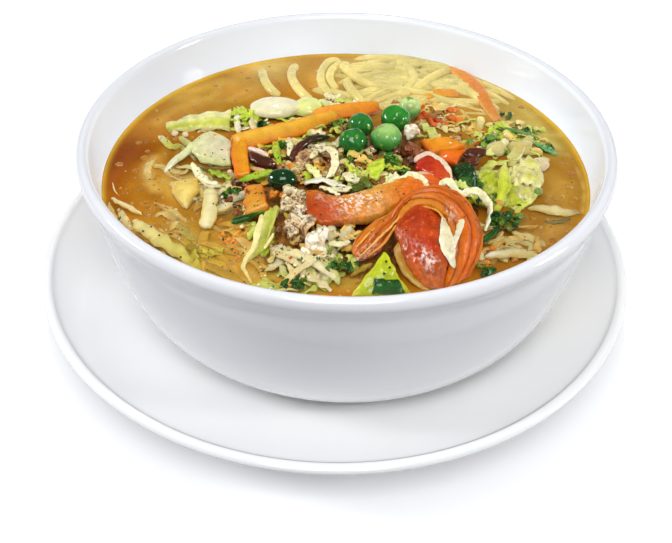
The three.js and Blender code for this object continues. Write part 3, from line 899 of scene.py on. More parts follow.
def heapTop(points):
    apart = (points[:, :2] - heap["middle"]) / heap["reach"]
    share = np.minimum(np.linalg.norm(apart, axis=1), 1.25)
    return heap["rise"] * (1 - share ** heap["power"]) + heap["edge"]


def onHeap(places):
    # (x, y, lift) triples of the picture become points that far above the heap
    places = np.atleast_2d(np.asarray(places, float))
    height = np.zeros(len(places))
    for attempt in range(6):
        found = spots(np.column_stack([places[:, :2], height]))
        height = np.maximum(heapTop(found), 0.0) + places[:, 2]
    return spots(np.column_stack([places[:, :2], height]))


# Parts. One with a path is a strand, with two sides a patch, with a place a lump, with corners a block and
# with a centre a cluster of leaflets. Its other words go to the shape's maker and to the paint.

paintWords = {
    "tones", "edge", "reach", "mottle", "mottleSize", "lines", "lineCount", "deep", "fleck", "fleckShare",
    "fleckSize", "sideTones", "sideShare", "shine", "shineTone", "shineSize",
}
wallGap = 0.35
wetEdge = {
    "above": 1.3,            # millimetres over the broth where the soaked colour starts
    "over": 2.2,
    "most": 0.8,
}


def insideBowl(points):
    # nothing passes through the bowl's wall
    middle = np.array([dish["bowlShift"], 0.0])
    apart = points[:, :2] - middle
    radius = np.linalg.norm(apart, axis=1)
    room = wallRadius(points[:, 2]) - wallGap
    share = np.minimum(room / np.maximum(radius, 1e-6), 1)
    return np.column_stack([middle + apart * share[:, None], points[:, 2]])


def soaked(points, tints):
    # what dips under the surface takes the colour of the broth there
    depth = np.clip((dish["brothLevel"] + wetEdge["above"] - points[:, 2:3]) / wetEdge["over"], 0, 1)
    if not depth.any():
        return tints
    share = wetEdge["most"] * depth ** 1.2
    return tints * (1 - share) + zoned(points, broth["tint"], broth["zones"]) * share


def add(batch, shape, seed=0, **look):
    shape["points"] = insideBowl(shape["points"])
    addShape(batch, shape, soaked(shape["points"], paint(shape, seed=seed, **look)))


def addPart(batch, part, laid=spots):
    # the places are laid out by the picture, at their own height or, with onHeap, on the heap
    words = dict(part)
    if "centre" in words:
        addLeaflets(batch, **words)
        return
    colours = {word: words.pop(word) for word in paintWords & words.keys()}
    seed = words.get("seed", 0)
    if "path" in words:
        shape = strand(laid(words.pop("path")), **words)
    elif "left" in words:
        shape = patch(laid(words.pop("left")), laid(words.pop("right")), **words)
    elif "place" in words:
        shape = lump(laid([words.pop("place")])[0], **words)
    else:
        shape = block(laid(words.pop("corners")), **words)
    add(batch, shape, seed, **colours)


def makeToppings(toppings, surface, clearSurface, clear):
    # tomato_wedge becomes the piece tomatoWedge; a name without a stroke stands for no node of its own
    for node, parts in toppings.items():
        batch = newBatch()
        for part in parts:
            addPart(batch, part)
        first, *others = node.split("_")
        name = first + "".join(other.capitalize() for other in others)
        makePiece(name, batch, clearSurface if node in clear else surface, (node,) if others else ())


def addLeaflets(batch, centre, reach, count, size, tones, seed):
    # small curled leaves, thrown together round a place of the picture
    chance = np.random.default_rng(seed)
    middle = spots([centre])[0]
    for number in range(count):
        spread = chance.normal(0, 0.45, 3) * np.array(reach)
        turn, tip = chance.uniform(0, 2 * math.pi), chance.uniform(-0.9, 0.9)
        long = size * chance.uniform(0.7, 1.3)
        wide = long * chance.uniform(0.45, 0.8)
        ahead = np.array([math.cos(turn) * math.cos(tip), math.sin(turn) * math.cos(tip), math.sin(tip)])
        aside = unit(np.cross([0, 0, 1.0], ahead)) + [0, 0, chance.uniform(-0.6, 0.6)]
        start = middle + spread - ahead * long / 2
        half = aside * (np.array([0.25, 0.5, 0.42, 0.12]) * wide)[:, None]
        stops = start + ahead * (np.array([0, 0.35, 0.7, 1.0]) * long)[:, None]
        own = [tones[chance.integers(len(tones))], tones[chance.integers(len(tones))]]
        leaflet = patch(stops + half, stops - half, 0.5, bulge=0.25 * wide, rows=8, columns=6, rough=0.25,
                        roughSize=1.2, ruffle=0.4, waves=1.5, seed=seed + number)
        add(batch, leaflet, seed + number, tones=own, mottle=0.2, mottleSize=1.0)


greens = [(26, 76, 10), (48, 102, 14), (20, 54, 8), (98, 136, 26)]

# Carrot

carrot = {
    "broad": 3.0, "fine": 0.5, "fineShare": 0.55, "shade": (0.86, 1.1), "rough": (0.18, 0.42),
    "bump": 0.35, "depth": 0.25, "coat": 0.35, "inner": 0.25, "innerDepth": 1.6, "glow": (1.0, 0.45, 0.12),
}
carrotStrip = {
    "thick": 3.0, "square": 0.3, "sides": 16, "steps": 34, "rough": 0.22, "roughSize": 3.5, "blunt": 0.85,
    "tones": [(232, 170, 30), (236, 182, 36), (232, 164, 24), (226, 136, 18)],
    "edge": (226, 104, 12), "reach": 5.0, "mottle": 0.07, "lines": 0.05, "fleckShare": 0.1,
}
carrotBlock = {
    "thick": 5.0, "tones": [(226, 150, 22), (222, 132, 18)], "edge": (218, 100, 14), "deep": (196, 70, 10),
    "reach": 6.0, "rows": 18, "columns": 14, "soft": 0.7, "rough": 0.35, "roughSize": 3.0,
}
carrots = {
    "carrot_strip_long": [
        dict(carrotStrip,
             path=[(234, 143, 5.0), (262, 136.5, 5.2), (296, 128.5, 5.6), (318, 121, 5.8), (336, 117, 5.6)],
             widths=[6.0, 6.6, 6.4, 6.0, 4.6], lean=0.75, seed=2, thick=3.0,
             sideTones=[(204, 100, 14), (228, 160, 32), (230, 184, 48), (234, 198, 74)], sideShare=0.8),
        dict(carrotStrip, path=[(314, 116, 5.2), (332, 113, 5.6), (352, 110.5, 5.6), (378, 107, 4.8)],
             widths=[4.2, 5.8, 5.8, 4.0], seed=4, lean=0.7, thick=2.8,
             tones=[(230, 166, 36), (228, 140, 26), (222, 118, 20)],
             sideTones=[(204, 90, 14), (230, 148, 30), (236, 180, 60)], sideShare=0.6),
    ],
    "carrot_strip_cross": [
        dict(carrotStrip, path=[(239, 138, 4.4), (240, 157, 5.0), (243.5, 177, 5.4)],
             widths=[5.8, 5.8, 5.2], lean=0.15, seed=6,
             sideTones=[(214, 92, 12), (226, 156, 24), (224, 154, 24)], sideShare=0.7),
    ],
    "carrot_chunk": [
        dict(carrotBlock, corners=[(421, 139, 8.4), (450, 136, 8.8), (466, 145, 8.2), (431, 152, 7.4)],
             seed=3),
        dict(carrotBlock, corners=[(436, 151, 6.8), (466, 147, 7.2), (457, 164, 6.0), (444, 160, 5.6)],
             seed=5, thick=3.4, tones=[(232, 116, 16), (222, 92, 12)]),
    ],
    "carrot_spiced": [
        dict(carrotBlock, corners=[(243, 187, 7.8), (262, 182, 8.6), (267, 206, 7.8), (245, 212, 7.0)],
             seed=8, tones=[(206, 130, 34), (216, 154, 48)], deep=(150, 56, 18), fleck=(92, 34, 12),
             fleckShare=0.16, fleckSize=1.1, rough=0.5),
    ],
    "carrot_far_long": [
        dict(carrotStrip,
             path=[(447, 69, 0.9), (464, 77, 1.1), (479, 91, 1.2), (489, 108, 0.9), (498, 122, 0.0)],
             widths=[2.8, 4.8, 5.2, 4.6, 3.0], thick=2.2, seed=9,
             tones=[(224, 150, 50), (216, 122, 30), (206, 120, 40), (216, 146, 66)], edge=(230, 170, 96),
             lean=0.2),
    ],
    "carrot_far_short": [
        dict(carrotStrip, path=[(424, 99, 0.4), (434, 95, 0.8), (446, 94, 0.8), (458, 96, 0.2)],
             widths=[2.8, 5.6, 6.0, 4.4], thick=2.0, seed=10,
             tones=[(232, 166, 50), (236, 158, 34), (222, 140, 40)], edge=(214, 150, 60)),
    ],
}

# Peas, and the dark bean beside them

pea = {
    "broad": 2.5, "fine": 0.5, "fineShare": 0.3, "shade": (0.9, 1.12), "rough": (0.1, 0.24),
    "bump": 0.2, "depth": 0.15, "coat": 0.7, "coatRough": 0.06, "inner": 0.12, "innerDepth": 1.2,
    "glow": (0.4, 1.0, 0.3),
}
peaSkin = {
    "rough": 0.06, "folds": 0.04, "foldSize": 1.1, "detail": 5, "mottle": 0.16, "mottleSize": 2.4,
    "fleck": (120, 160, 60), "fleckShare": 0.12, "fleckSize": 1.6,
}
peaPlaces = {
    # node: place, how far across, colours from below to above; the darker undersides are painted shade and
    # the pale tops of the third and fifth peas are painted highlights
    "pea_1": ((353, 143, 8.0), 10.2, [(14, 50, 12), (24, 92, 28), (40, 120, 44)]),
    "pea_2": ((360.5, 125.5, 7.0), 9.6, [(16, 52, 14), (30, 96, 32), (48, 128, 48)]),
    "pea_3": ((385.5, 138.5, 9.0), 11.0, [(14, 54, 12), (30, 104, 32), (74, 146, 62), (160, 196, 110)]),
    "pea_4": ((396, 119, 8.0), 10.6, [(12, 50, 12), (26, 104, 26), (48, 140, 40)]),
    "pea_5": ((410, 108, 6.0), 8.6, [(30, 100, 34), (86, 156, 70), (206, 218, 140)]),
}


def peaParts():
    # every pea a little flatter than round, and the dark bean
    parts = {}
    for number, (node, (place, across, tones)) in enumerate(peaPlaces.items()):
        size = (across, across, across * 0.96)
        parts[node] = [dict(peaSkin, place=place, size=size, tones=tones, seed=number + 3)]
    parts["pea_dark"] = [
        dict(place=(282.5, 179.5, 8.0), size=(9.8, 7.6, 7.0), tones=[(6, 26, 6), (8, 44, 12), (12, 56, 20)],
             turn=0.1, rough=0.05, seed=9, mottle=0.15),
    ]
    return parts


# Tomato: the wedge with its pulp, folds and loose skin, the slice, and the piece at the back

tomato = {
    "broad": 2.2, "fine": 0.4, "fineShare": 0.7, "shade": (0.78, 1.14), "rough": (0.1, 0.3),
    "bump": 0.55, "depth": 0.3, "coat": 0.35, "coatRough": 0.04, "pale": 0.6, "inner": 0.2,
    "innerDepth": 1.6,
    "glow": (1.0, 0.25, 0.08),
}
tomatoSkin = {
    "broad": 2.4, "fine": 0.5, "fineShare": 0.45, "shade": (0.84, 1.12), "rough": (0.2, 0.42),
    "bump": 0.45, "depth": 0.25, "coat": 0.2, "coatRough": 0.04, "inner": 0.15, "innerDepth": 1.2,
    "glow": (1.0, 0.4, 0.1),
}
pulpLook = {
    "rows": 84, "columns": 56, "rough": 0.2, "roughSize": 1.3, "mottle": 0.2, "mottleSize": 2.2,
    "fleck": (212, 100, 40), "fleckShare": 0.2, "fleckSize": 0.7, "lines": 0.12, "lineCount": 10.0,
}
# the deep colour in the valleys between the folds is painted shade
foldLook = {
    "thick": 2.4, "rows": 120, "columns": 80, "ridges": 3, "ridgeDepth": 0.6, "rough": 0.22,
    "roughSize": 3.0,
    "lines": 0.2, "lineCount": 11.0, "mottle": 0.08, "deep": (132, 44, 6),
}
threadLook = {"steps": 44, "sides": 8, "rough": 0.15, "blunt": 0.3, "mottle": 0.08}
membraneLook = {
    "thick": 1.0, "steps": 44, "sides": 12, "rough": 0.3, "tones": [(214, 204, 160), (220, 212, 176)],
    "edge": (232, 226, 200), "lines": 0.08,
}
rind = {"thick": 1.6, "steps": 34, "sides": 10, "rough": 0.2}
# pale threads on the folds: path, how wide, colour
foldThreads = [
    ([(397, 229, 10.0), (402, 215, 12.0), (412, 205, 13.4), (424, 202, 14.2), (436, 205.5, 14.2),
      (444, 213, 13.6), (451, 219, 12.8)], 2.8, (206, 122, 28)),
    ([(359, 257, 6.0), (374, 243, 9.0), (391, 226, 11.2), (407, 209, 12.8)], 0.8, (226, 168, 84)),
    ([(356, 247, 8.2), (368, 234, 9.8), (383, 222, 11.2), (401, 207, 12.6)], 0.7, (224, 160, 72)),
    ([(368, 257, 6.2), (382, 245, 8.6), (392, 232, 10.4), (402, 217, 12.0)], 0.8, (214, 136, 50)),
    ([(380, 221, 11.2), (396, 210, 12.2), (412, 200, 13.2), (427, 194, 13.8)], 0.8, (230, 170, 80)),
    ([(434, 192, 13.6), (450, 199, 13.2), (462, 210, 11.6), (469, 224, 9.6), (471, 240, 7.2)], 0.8,
     (228, 156, 66)),
    ([(460, 201, 12.0), (470, 213, 10.0), (476, 228, 7.8), (476, 244, 5.2)], 0.7, (220, 146, 60)),
    ([(444, 222, 13.2), (441, 214, 13.8), (432, 208, 14.2), (420, 207, 13.8)], 0.8, (226, 150, 54)),
]
wedgePulp = {
    "tomato_wedge": [
        dict(pulpLook,
             left=[(411, 205, 9.8), (398, 219, 9.8), (393, 232, 9.0), (399, 246, 7.2), (404, 259, 5.0),
                   (411, 273, 2.6), (424, 289, -0.4)],
             right=[(427, 204, 10.2), (438, 212, 10.4), (444, 226, 10.0), (447, 244, 8.4), (448, 261, 5.8),
                    (446, 275, 3.0), (443, 289, -0.4)], thick=3.0, bulge=3.2, seed=3,
             tones=[(190, 92, 30), (180, 66, 16), (170, 50, 8), (184, 62, 14), (180, 50, 8), (182, 84, 24),
                    (182, 96, 34)], edge=(196, 92, 28), reach=4.0, shineSize=0.7,
             # painted highlights: wet glints on the pulp's lower front
             shine=[((415, 251, 8.8), 1.4, 0.6), ((423, 257, 8.2), 1.5, 0.75), ((432, 263, 7.4), 1.7, 0.75),
                    ((402, 236, 10.8), 1.6, 0.3)]),
    ],
}
wedgeSkins = {
    "tomatoFolds": [
        dict(foldLook,
             left=[(397, 219, 10.2), (404, 208, 11.8), (414, 202, 12.8), (428, 201, 13.4), (439, 207, 13.4),
                   (446, 219, 12.6), (450, 236, 10.6), (451, 254, 7.6), (449, 271, 4.0), (443, 289, -0.4)],
             right=[(402, 208, 10.2), (411, 198, 11.6), (422, 191, 12.4), (437, 188.5, 12.6),
                    (453, 193, 11.8), (466, 203, 10.2), (475, 217, 8.2), (480, 233, 5.8), (478, 256, 2.6),
                    (468, 276, -0.6)], seed=21, bulge=1.4,
             tones=[(186, 84, 14), (202, 106, 14), (206, 104, 12), (194, 94, 8), (196, 96, 8),
                    (210, 100, 10), (240, 118, 20), (246, 122, 26)],
             # painted highlights on the folds
             shine=[((388, 224, 11.0), 3.0, 0.5), ((447, 212, 14.0), 3.0, 0.5)],
             sideTones=[(206, 130, 34), (192, 90, 12), (184, 76, 8), (208, 118, 22)], sideShare=0.4),
        dict(foldLook,
             left=[(351.5, 251, 5.4), (355, 241, 7.2), (362, 231, 8.8), (374, 222, 10.0), (385, 217, 10.6),
                   (401, 206, 11.6), (411, 198, 12.4), (419, 193, 12.8)],
             right=[(358, 262, 3.6), (370, 258, 4.6), (381, 251, 6.0), (386, 240, 8.0), (394, 230, 9.4),
                    (398, 220, 10.6), (409, 205, 12.2), (424, 197, 13.0)], thick=1.6, bulge=1.6, ridges=3,
             # the valleys of this skin flap take a deep colour as painted shade
             ridgeDepth=0.55, seed=30, deep=(150, 56, 8), shineSize=0.6,
             shine=[((372, 241, 10.4), 2.2, 0.5), ((359, 252, 7.6), 1.5, 0.7), ((384, 246, 9.6), 1.6, 0.4)],
             tones=[(206, 114, 20), (208, 110, 12), (210, 116, 12), (208, 106, 10), (208, 98, 10)],
             sideTones=[(212, 132, 36), (204, 112, 20), (182, 76, 12), (160, 52, 10)], sideShare=0.55),
        *[dict(threadLook, path=path, widths=[0.4, width, width, width, 0.4],
               thick=width * 0.7, seed=40 + number, tones=[colour])
          for number, (path, width, colour) in enumerate(foldThreads)],
    ],
    "tomatoMembrane": [
        dict(membraneLook,
             path=[(441.5, 217.5, 13.4), (444, 224, 12.8), (446.5, 235, 11.8), (448, 246, 10.2),
                   (454, 268, 5.8)], widths=[0.8, 3.2, 5.0, 4.2, 0.8], seed=51, lean=-0.25),
        dict(membraneLook,
             path=[(459.5, 214, 12.8), (460, 222, 12.4), (457, 233, 11.4), (453, 245, 10.2),
                   (450, 252, 9.2)], widths=[1.0, 2.6, 2.4, 2.0, 0.8], seed=52, lean=0.2),
        dict(membraneLook,
             path=[(407, 238, 9.0), (400.5, 248, 7.0), (403, 261, 4.6), (412, 275, 2.4), (425, 287, 0.4),
                   (431, 291, -0.6)], widths=[1.0, 3.4, 4.4, 4.4, 3.6, 1.6], seed=53, thick=1.6,
             edge=(206, 168, 82), tones=[(196, 140, 50), (184, 124, 36), (186, 136, 44), (180, 134, 44)]),
    ],
}
tomatoes = {
    "tomato_slice": [
        dict(left=[(306, 194, 8.2), (318, 192.5, 8.8), (331, 197.5, 9.0), (345, 197.5, 9.4),
                   (360, 194, 10.0), (387, 186, 11.0), (408, 180.5, 11.8), (423, 184, 12.2)],
             right=[(308, 221, 5.4), (318, 226, 5.4), (331, 225.5, 5.8), (353, 223, 6.6), (373, 221, 7.6),
                    (391, 212, 8.8), (410, 199, 10.8), (424, 193, 11.6)], thick=3.6, bulge=1.4, rows=96,
             columns=34, rough=0.28, roughSize=1.2, seed=61, thinEdge=0.5,
             tones=[(132, 14, 2), (160, 30, 4), (214, 152, 46), (226, 182, 76), (226, 134, 22),
                    (226, 104, 4)],
             sideTones=[(228, 146, 44), (222, 120, 34), (206, 90, 26), (210, 96, 22), (222, 112, 20)],
             sideShare=0.5, mottle=0.16, mottleSize=1.6, shineSize=0.5,
             # painted highlights: wet glints across the slice
             shine=[((345, 210, 7.6), 3.8, 0.85), ((362, 209, 8.4), 3.8, 0.85), ((376, 206, 9.2), 2.6, 0.6),
                    ((322, 206, 7.0), 1.8, 0.4)]),
    ],
    "tomato_back": [
        dict(left=[(415, 161, 6.6), (429, 155.5, 7.4), (441, 162, 7.8), (448, 171, 7.4), (451, 181, 6.6)],
             right=[(416, 171, 6.0), (424, 174, 6.4), (433, 177, 6.8), (441, 182, 6.8), (447, 188, 6.2)],
             thick=2.6, bulge=0.6, rows=30, columns=16, rough=0.2, roughSize=1.6, seed=63,
             tones=[(176, 34, 12), (190, 48, 16), (200, 66, 20), (212, 88, 24)], mottle=0.14),
        dict(left=[(418, 174, 6.4), (430, 176, 7.2), (441, 181, 7.4), (448, 188, 7.0)],
             right=[(423, 182, 6.0), (432, 187, 6.4), (441, 191, 6.6), (446, 194, 6.6)], thick=2.2,
             bulge=0.5, rows=24, columns=12, rough=0.2, roughSize=1.6, seed=64,
             tones=[(224, 108, 24), (220, 94, 20), (212, 86, 20)], mottle=0.12),
        dict(rind,
             path=[(414, 162, 7.6), (421, 156.5, 8.2), (430, 154.5, 8.6), (440, 160, 8.8), (447, 169, 8.4),
                   (451, 180, 7.4)], widths=[1.6, 2.2, 2.4, 2.4, 2.2, 1.4], seed=65,
             tones=[(232, 196, 170), (238, 214, 182), (232, 200, 170)]),
        dict(rind, path=[(414, 173, 7.0), (424, 173.5, 7.8), (434, 176, 8.2)], widths=[0.8, 1.4, 0.8],
             seed=66, thick=1.0, tones=[(232, 190, 150), (226, 176, 130)]),
    ],
}

# Cabbage: thin curled ribbons, then leaves

cabbage = {
    "broad": 2.6, "fine": 0.6, "fineShare": 0.5, "shade": (0.86, 1.1), "rough": (0.16, 0.42),
    "bump": 0.45, "depth": 0.3, "coat": 0.5, "coatRough": 0.08, "pale": 0.6, "inner": 0.25,
    "innerDepth": 1.0,
    "glow": (0.9, 1.0, 0.4),
}
ribbon = {
    "thick": 0.95, "steps": 110, "sides": 10, "square": 0.8, "rough": 0.22, "roughSize": 1.6, "ruffle": 0.3,
    "waves": 9.0, "tones": [(234, 228, 170), (238, 232, 178), (226, 222, 156)], "edge": (246, 240, 208),
    "reach": 2.0, "mottle": 0.08, "fleck": (206, 204, 120), "fleckShare": 0.18, "fleckSize": 1.4,
}
leaf = {
    "thick": 1.6, "rows": 34, "columns": 20, "rough": 0.3, "roughSize": 2.2, "mottle": 0.12,
    "lines": 0.1, "lineCount": 5.0,
}
speck = {"rough": 0.3, "detail": 2, "mottle": 0}
paleFold = {
    **leaf, "thick": 1.0, "bulge": 0.9, "ruffle": 0.7, "lines": 0.14, "rows": 20, "columns": 10,
    "tones": [(230, 220, 156), (208, 204, 92), (220, 212, 130)], "edge": (236, 228, 176),
}
paleFolds = [
    ([(519, 160, 3.0), (531, 158, 3.4), (541, 163, 2.4)],
     [(520, 168, 3.2), (531, 170, 3.6), (540, 175, 2.4)]),
    ([(516, 176, 3.2), (528, 172, 3.8), (541, 179, 2.0)],
     [(518, 184, 3.0), (530, 185, 3.4), (540, 190, 1.6)]),
    ([(514, 190, 2.8), (524, 187, 3.2), (533, 193, 1.8)],
     [(517, 199, 1.8), (525, 200, 2.0), (531, 203, 1.0)]),
]
ribbons = {
    "ribbon_left": [
        dict(ribbon,
             path=[(383, 186, 10.6), (390, 182.5, 11.4), (396, 180, 11.6), (404, 178, 11.8),
                   (411, 175, 12.0), (418, 177, 12.2), (424, 183, 12.8), (429, 189.5, 13.2),
                   (437, 195, 13.4)], widths=[1.4, 2.6, 2.2, 2.8, 2.4, 2.8, 2.4, 2.6, 1.2],
             lean=[0.4, 0.9, 0.5, 1.0], seed=1),
        dict(leaf, left=[(386, 182, 10.4), (387, 176, 11.4), (396, 172.5, 11.8)],
             right=[(391, 184, 10.6), (397, 180, 11.2), (401, 176, 11.6)], thick=0.9, seed=2, ruffle=0.7,
             tones=[(222, 224, 150), (230, 228, 164)], edge=(240, 236, 196), rows=18, columns=12),
    ],
    "ribbon_right": [
        dict(ribbon,
             path=[(440.5, 190, 11.0), (441.5, 184.5, 12.2), (447, 181, 12.8), (452, 184.5, 12.6),
                   (456, 191, 12.0), (462, 194, 11.6), (469, 190.5, 12.0), (477, 191.5, 11.6),
                   (484.5, 197, 10.4), (490, 207, 8.6), (489, 218, 6.6), (485, 231, 4.2)],
             widths=[1.4, 2.3, 2.5, 2.1, 2.3, 2.6, 2.9, 2.7, 2.4, 2.4, 2.0, 0.8], seed=3,
             lean=[1.1, 0.3, 0.9, 0.2, 1.0, 1.3, 0.9]),
        dict(leaf, left=[(452, 182, 11.4), (459, 180.5, 11.4), (466, 184, 11.0)],
             right=[(455, 188, 11.4), (462, 189, 11.4), (468, 190, 11.2)], thick=0.8, seed=4, ruffle=0.5,
             tones=[(196, 208, 92), (214, 220, 120)], rows=16, columns=10),
    ],
}
cabbages = {
    "cabbage_slab": [
        dict(leaf,
             left=[(193, 144, 4.6), (202, 136.5, 5.4), (210, 133, 5.6), (219, 135.5, 5.4), (231, 143, 5.0)],
             right=[(194, 154, 3.4), (200, 161, 3.6), (210, 163.5, 3.8), (221, 165, 4.2), (231, 165, 4.4)],
             thick=2.8, bulge=0.9, seed=5, tones=[(204, 206, 144), (214, 206, 162), (216, 204, 168)],
             edge=(200, 202, 136), lines=0.05, rough=0.2),
        dict(path=[(197, 143, 4.2), (188, 150, 3.2), (179, 157.5, 2.2), (171, 165, 1.4), (165, 172, 0.8)],
             widths=[3.6, 3.4, 3.0, 2.4, 1.6], thick=1.6, seed=6,
             tones=[(214, 222, 150), (226, 228, 172), (234, 226, 196)], rough=0.25),
    ],
    "cabbage_edge_left": [
        dict(leaf,
             left=[(166, 124, 2.0), (180, 118.5, 2.8), (196, 115, 3.4), (214, 112, 3.8), (232, 111, 4.0)],
             right=[(168, 131, 0.4), (182, 132, 0.4), (196, 130, 0.6), (213, 129.5, 0.8), (229, 130, 1.2)],
             thick=1.8, bulge=0.5, seed=7, tones=[(206, 206, 96), (212, 210, 120), (206, 206, 114)],
             sideTones=[(230, 224, 180), (222, 218, 150), (192, 196, 50), (172, 180, 34)], sideShare=0.9,
             ruffle=0.8, edge=(218, 212, 136)),
    ],
    "cabbage_wedge_front": [
        dict(leaf, left=[(383.4, 252, 7.6), (373, 267, 5.2), (362, 281, 2.8), (349, 297, -0.6)],
             right=[(385.4, 252, 7.6), (392, 264, 5.6), (400, 278, 3.0), (412, 295, -0.6)], thick=1.8,
             bulge=1.0, rows=44, columns=30, seed=8,
             tones=[(186, 194, 26), (178, 188, 20), (168, 178, 16), (154, 162, 14)], edge=(200, 202, 50),
             reach=5.0, lines=0.1, lineCount=3.0),
        *[dict(speck, place=place, size=(0.9, 0.9, 0.6), tones=[(40, 30, 8)])
          for place in ((389.5, 267.5, 6.9), (384, 273.5, 6.0), (386, 261.5, 7.6))],
    ],
    "cabbage_curl": [
        dict(leaf,
             left=[(265, 212, 7.2), (262, 223, 6.6), (258, 237, 5.2), (252, 251, 3.6), (246, 263, 1.8)],
             right=[(277, 205, 8.4), (276, 216, 7.6), (272, 230, 6.0), (267, 243, 4.2), (262, 253, 2.2)],
             thick=1.2, bulge=-0.8, seed=9,
             tones=[(176, 196, 60), (190, 196, 84), (176, 178, 60), (186, 160, 66)],
             sideTones=[(226, 214, 156), (206, 200, 96), (168, 184, 46), (210, 196, 110)], sideShare=0.65),
        dict(path=[(262, 215, 8.0), (258, 231, 6.4), (254, 246, 4.8), (246, 259, 3.0), (243, 266, 2.0),
                   (246, 273, 1.2), (251, 284, 0.3)], widths=[1.4, 2.0, 2.0, 1.8, 1.5, 1.3, 0.8], thick=1.1,
             seed=10, steps=50, rough=0.2,
             tones=[(226, 214, 140), (230, 220, 150), (232, 216, 140), (222, 196, 104)]),
        dict(path=[(274, 233, 6.8), (269.5, 241, 5.6), (264.5, 249, 4.0)], widths=[0.6, 1.1, 0.6],
             thick=0.8, seed=11, tones=[(236, 222, 150)], rough=0.1),
    ],
    "cabbage_pointed": [
        dict(leaf,
             left=[(503.4, 162, 5.0), (499, 176, 5.2), (497.5, 190, 5.0), (495, 202, 4.2), (494, 211, 3.0)],
             right=[(505, 162, 5.0), (509, 173, 5.0), (511, 186, 4.8), (506, 199, 4.0), (499, 212, 2.8)],
             thick=1.3, bulge=0.8, seed=12,
             tones=[(224, 220, 120), (204, 208, 74), (186, 196, 46), (194, 194, 56)], lines=0.14,
             lineCount=4.0),
    ],
    "cabbage_right": [
        dict(leaf, left=[(478, 176, 3.6), (480, 186, 3.0), (486, 196, 1.8)],
             right=[(493, 171, 4.4), (499, 181, 3.8), (501, 193, 2.2)], thick=1.6, seed=13, ruffle=0.8,
             bulge=1.0, tones=[(188, 196, 50), (180, 190, 36), (190, 192, 56)], edge=(196, 200, 90)),
        dict(leaf, left=[(508, 186, 2.2), (509, 198, 1.6), (513, 208, 0.4)],
             right=[(517, 183, 2.2), (521, 194, 1.6), (522, 205, 0.4)], thick=1.4, seed=14, ruffle=0.5,
             bulge=0.5, tones=[(186, 194, 46), (196, 198, 60)]),
    ],
    "cabbage_pale_right": [
        dict(leaf, left=[(513, 166, 2.4), (511, 177, 2.4), (514, 190, 1.8), (520, 201, 0.6)],
             right=[(528, 164, 2.2), (539, 171, 1.8), (542, 184, 1.2), (534, 198, 0.4)], thick=2.0, seed=15,
             bulge=0.8, ruffle=0.9, lines=0.16, lineCount=5.0, mottle=0.2,
             tones=[(226, 216, 150), (214, 202, 108), (206, 198, 92)], edge=(228, 218, 150), rough=0.6),
        *[dict(paleFold, left=far, right=near, seed=150 + number)
          for number, (far, near) in enumerate(paleFolds)],
        dict(path=[(542, 189, 0.9), (531, 197, 1.2), (522, 206, 0.9), (516, 213, 0.2)],
             widths=[1.6, 3.2, 3.4, 1.6], thick=1.2, seed=16, tones=[(214, 208, 110), (204, 200, 84)],
             rough=0.3),
    ],
}

# Onion, and the pale pieces that float

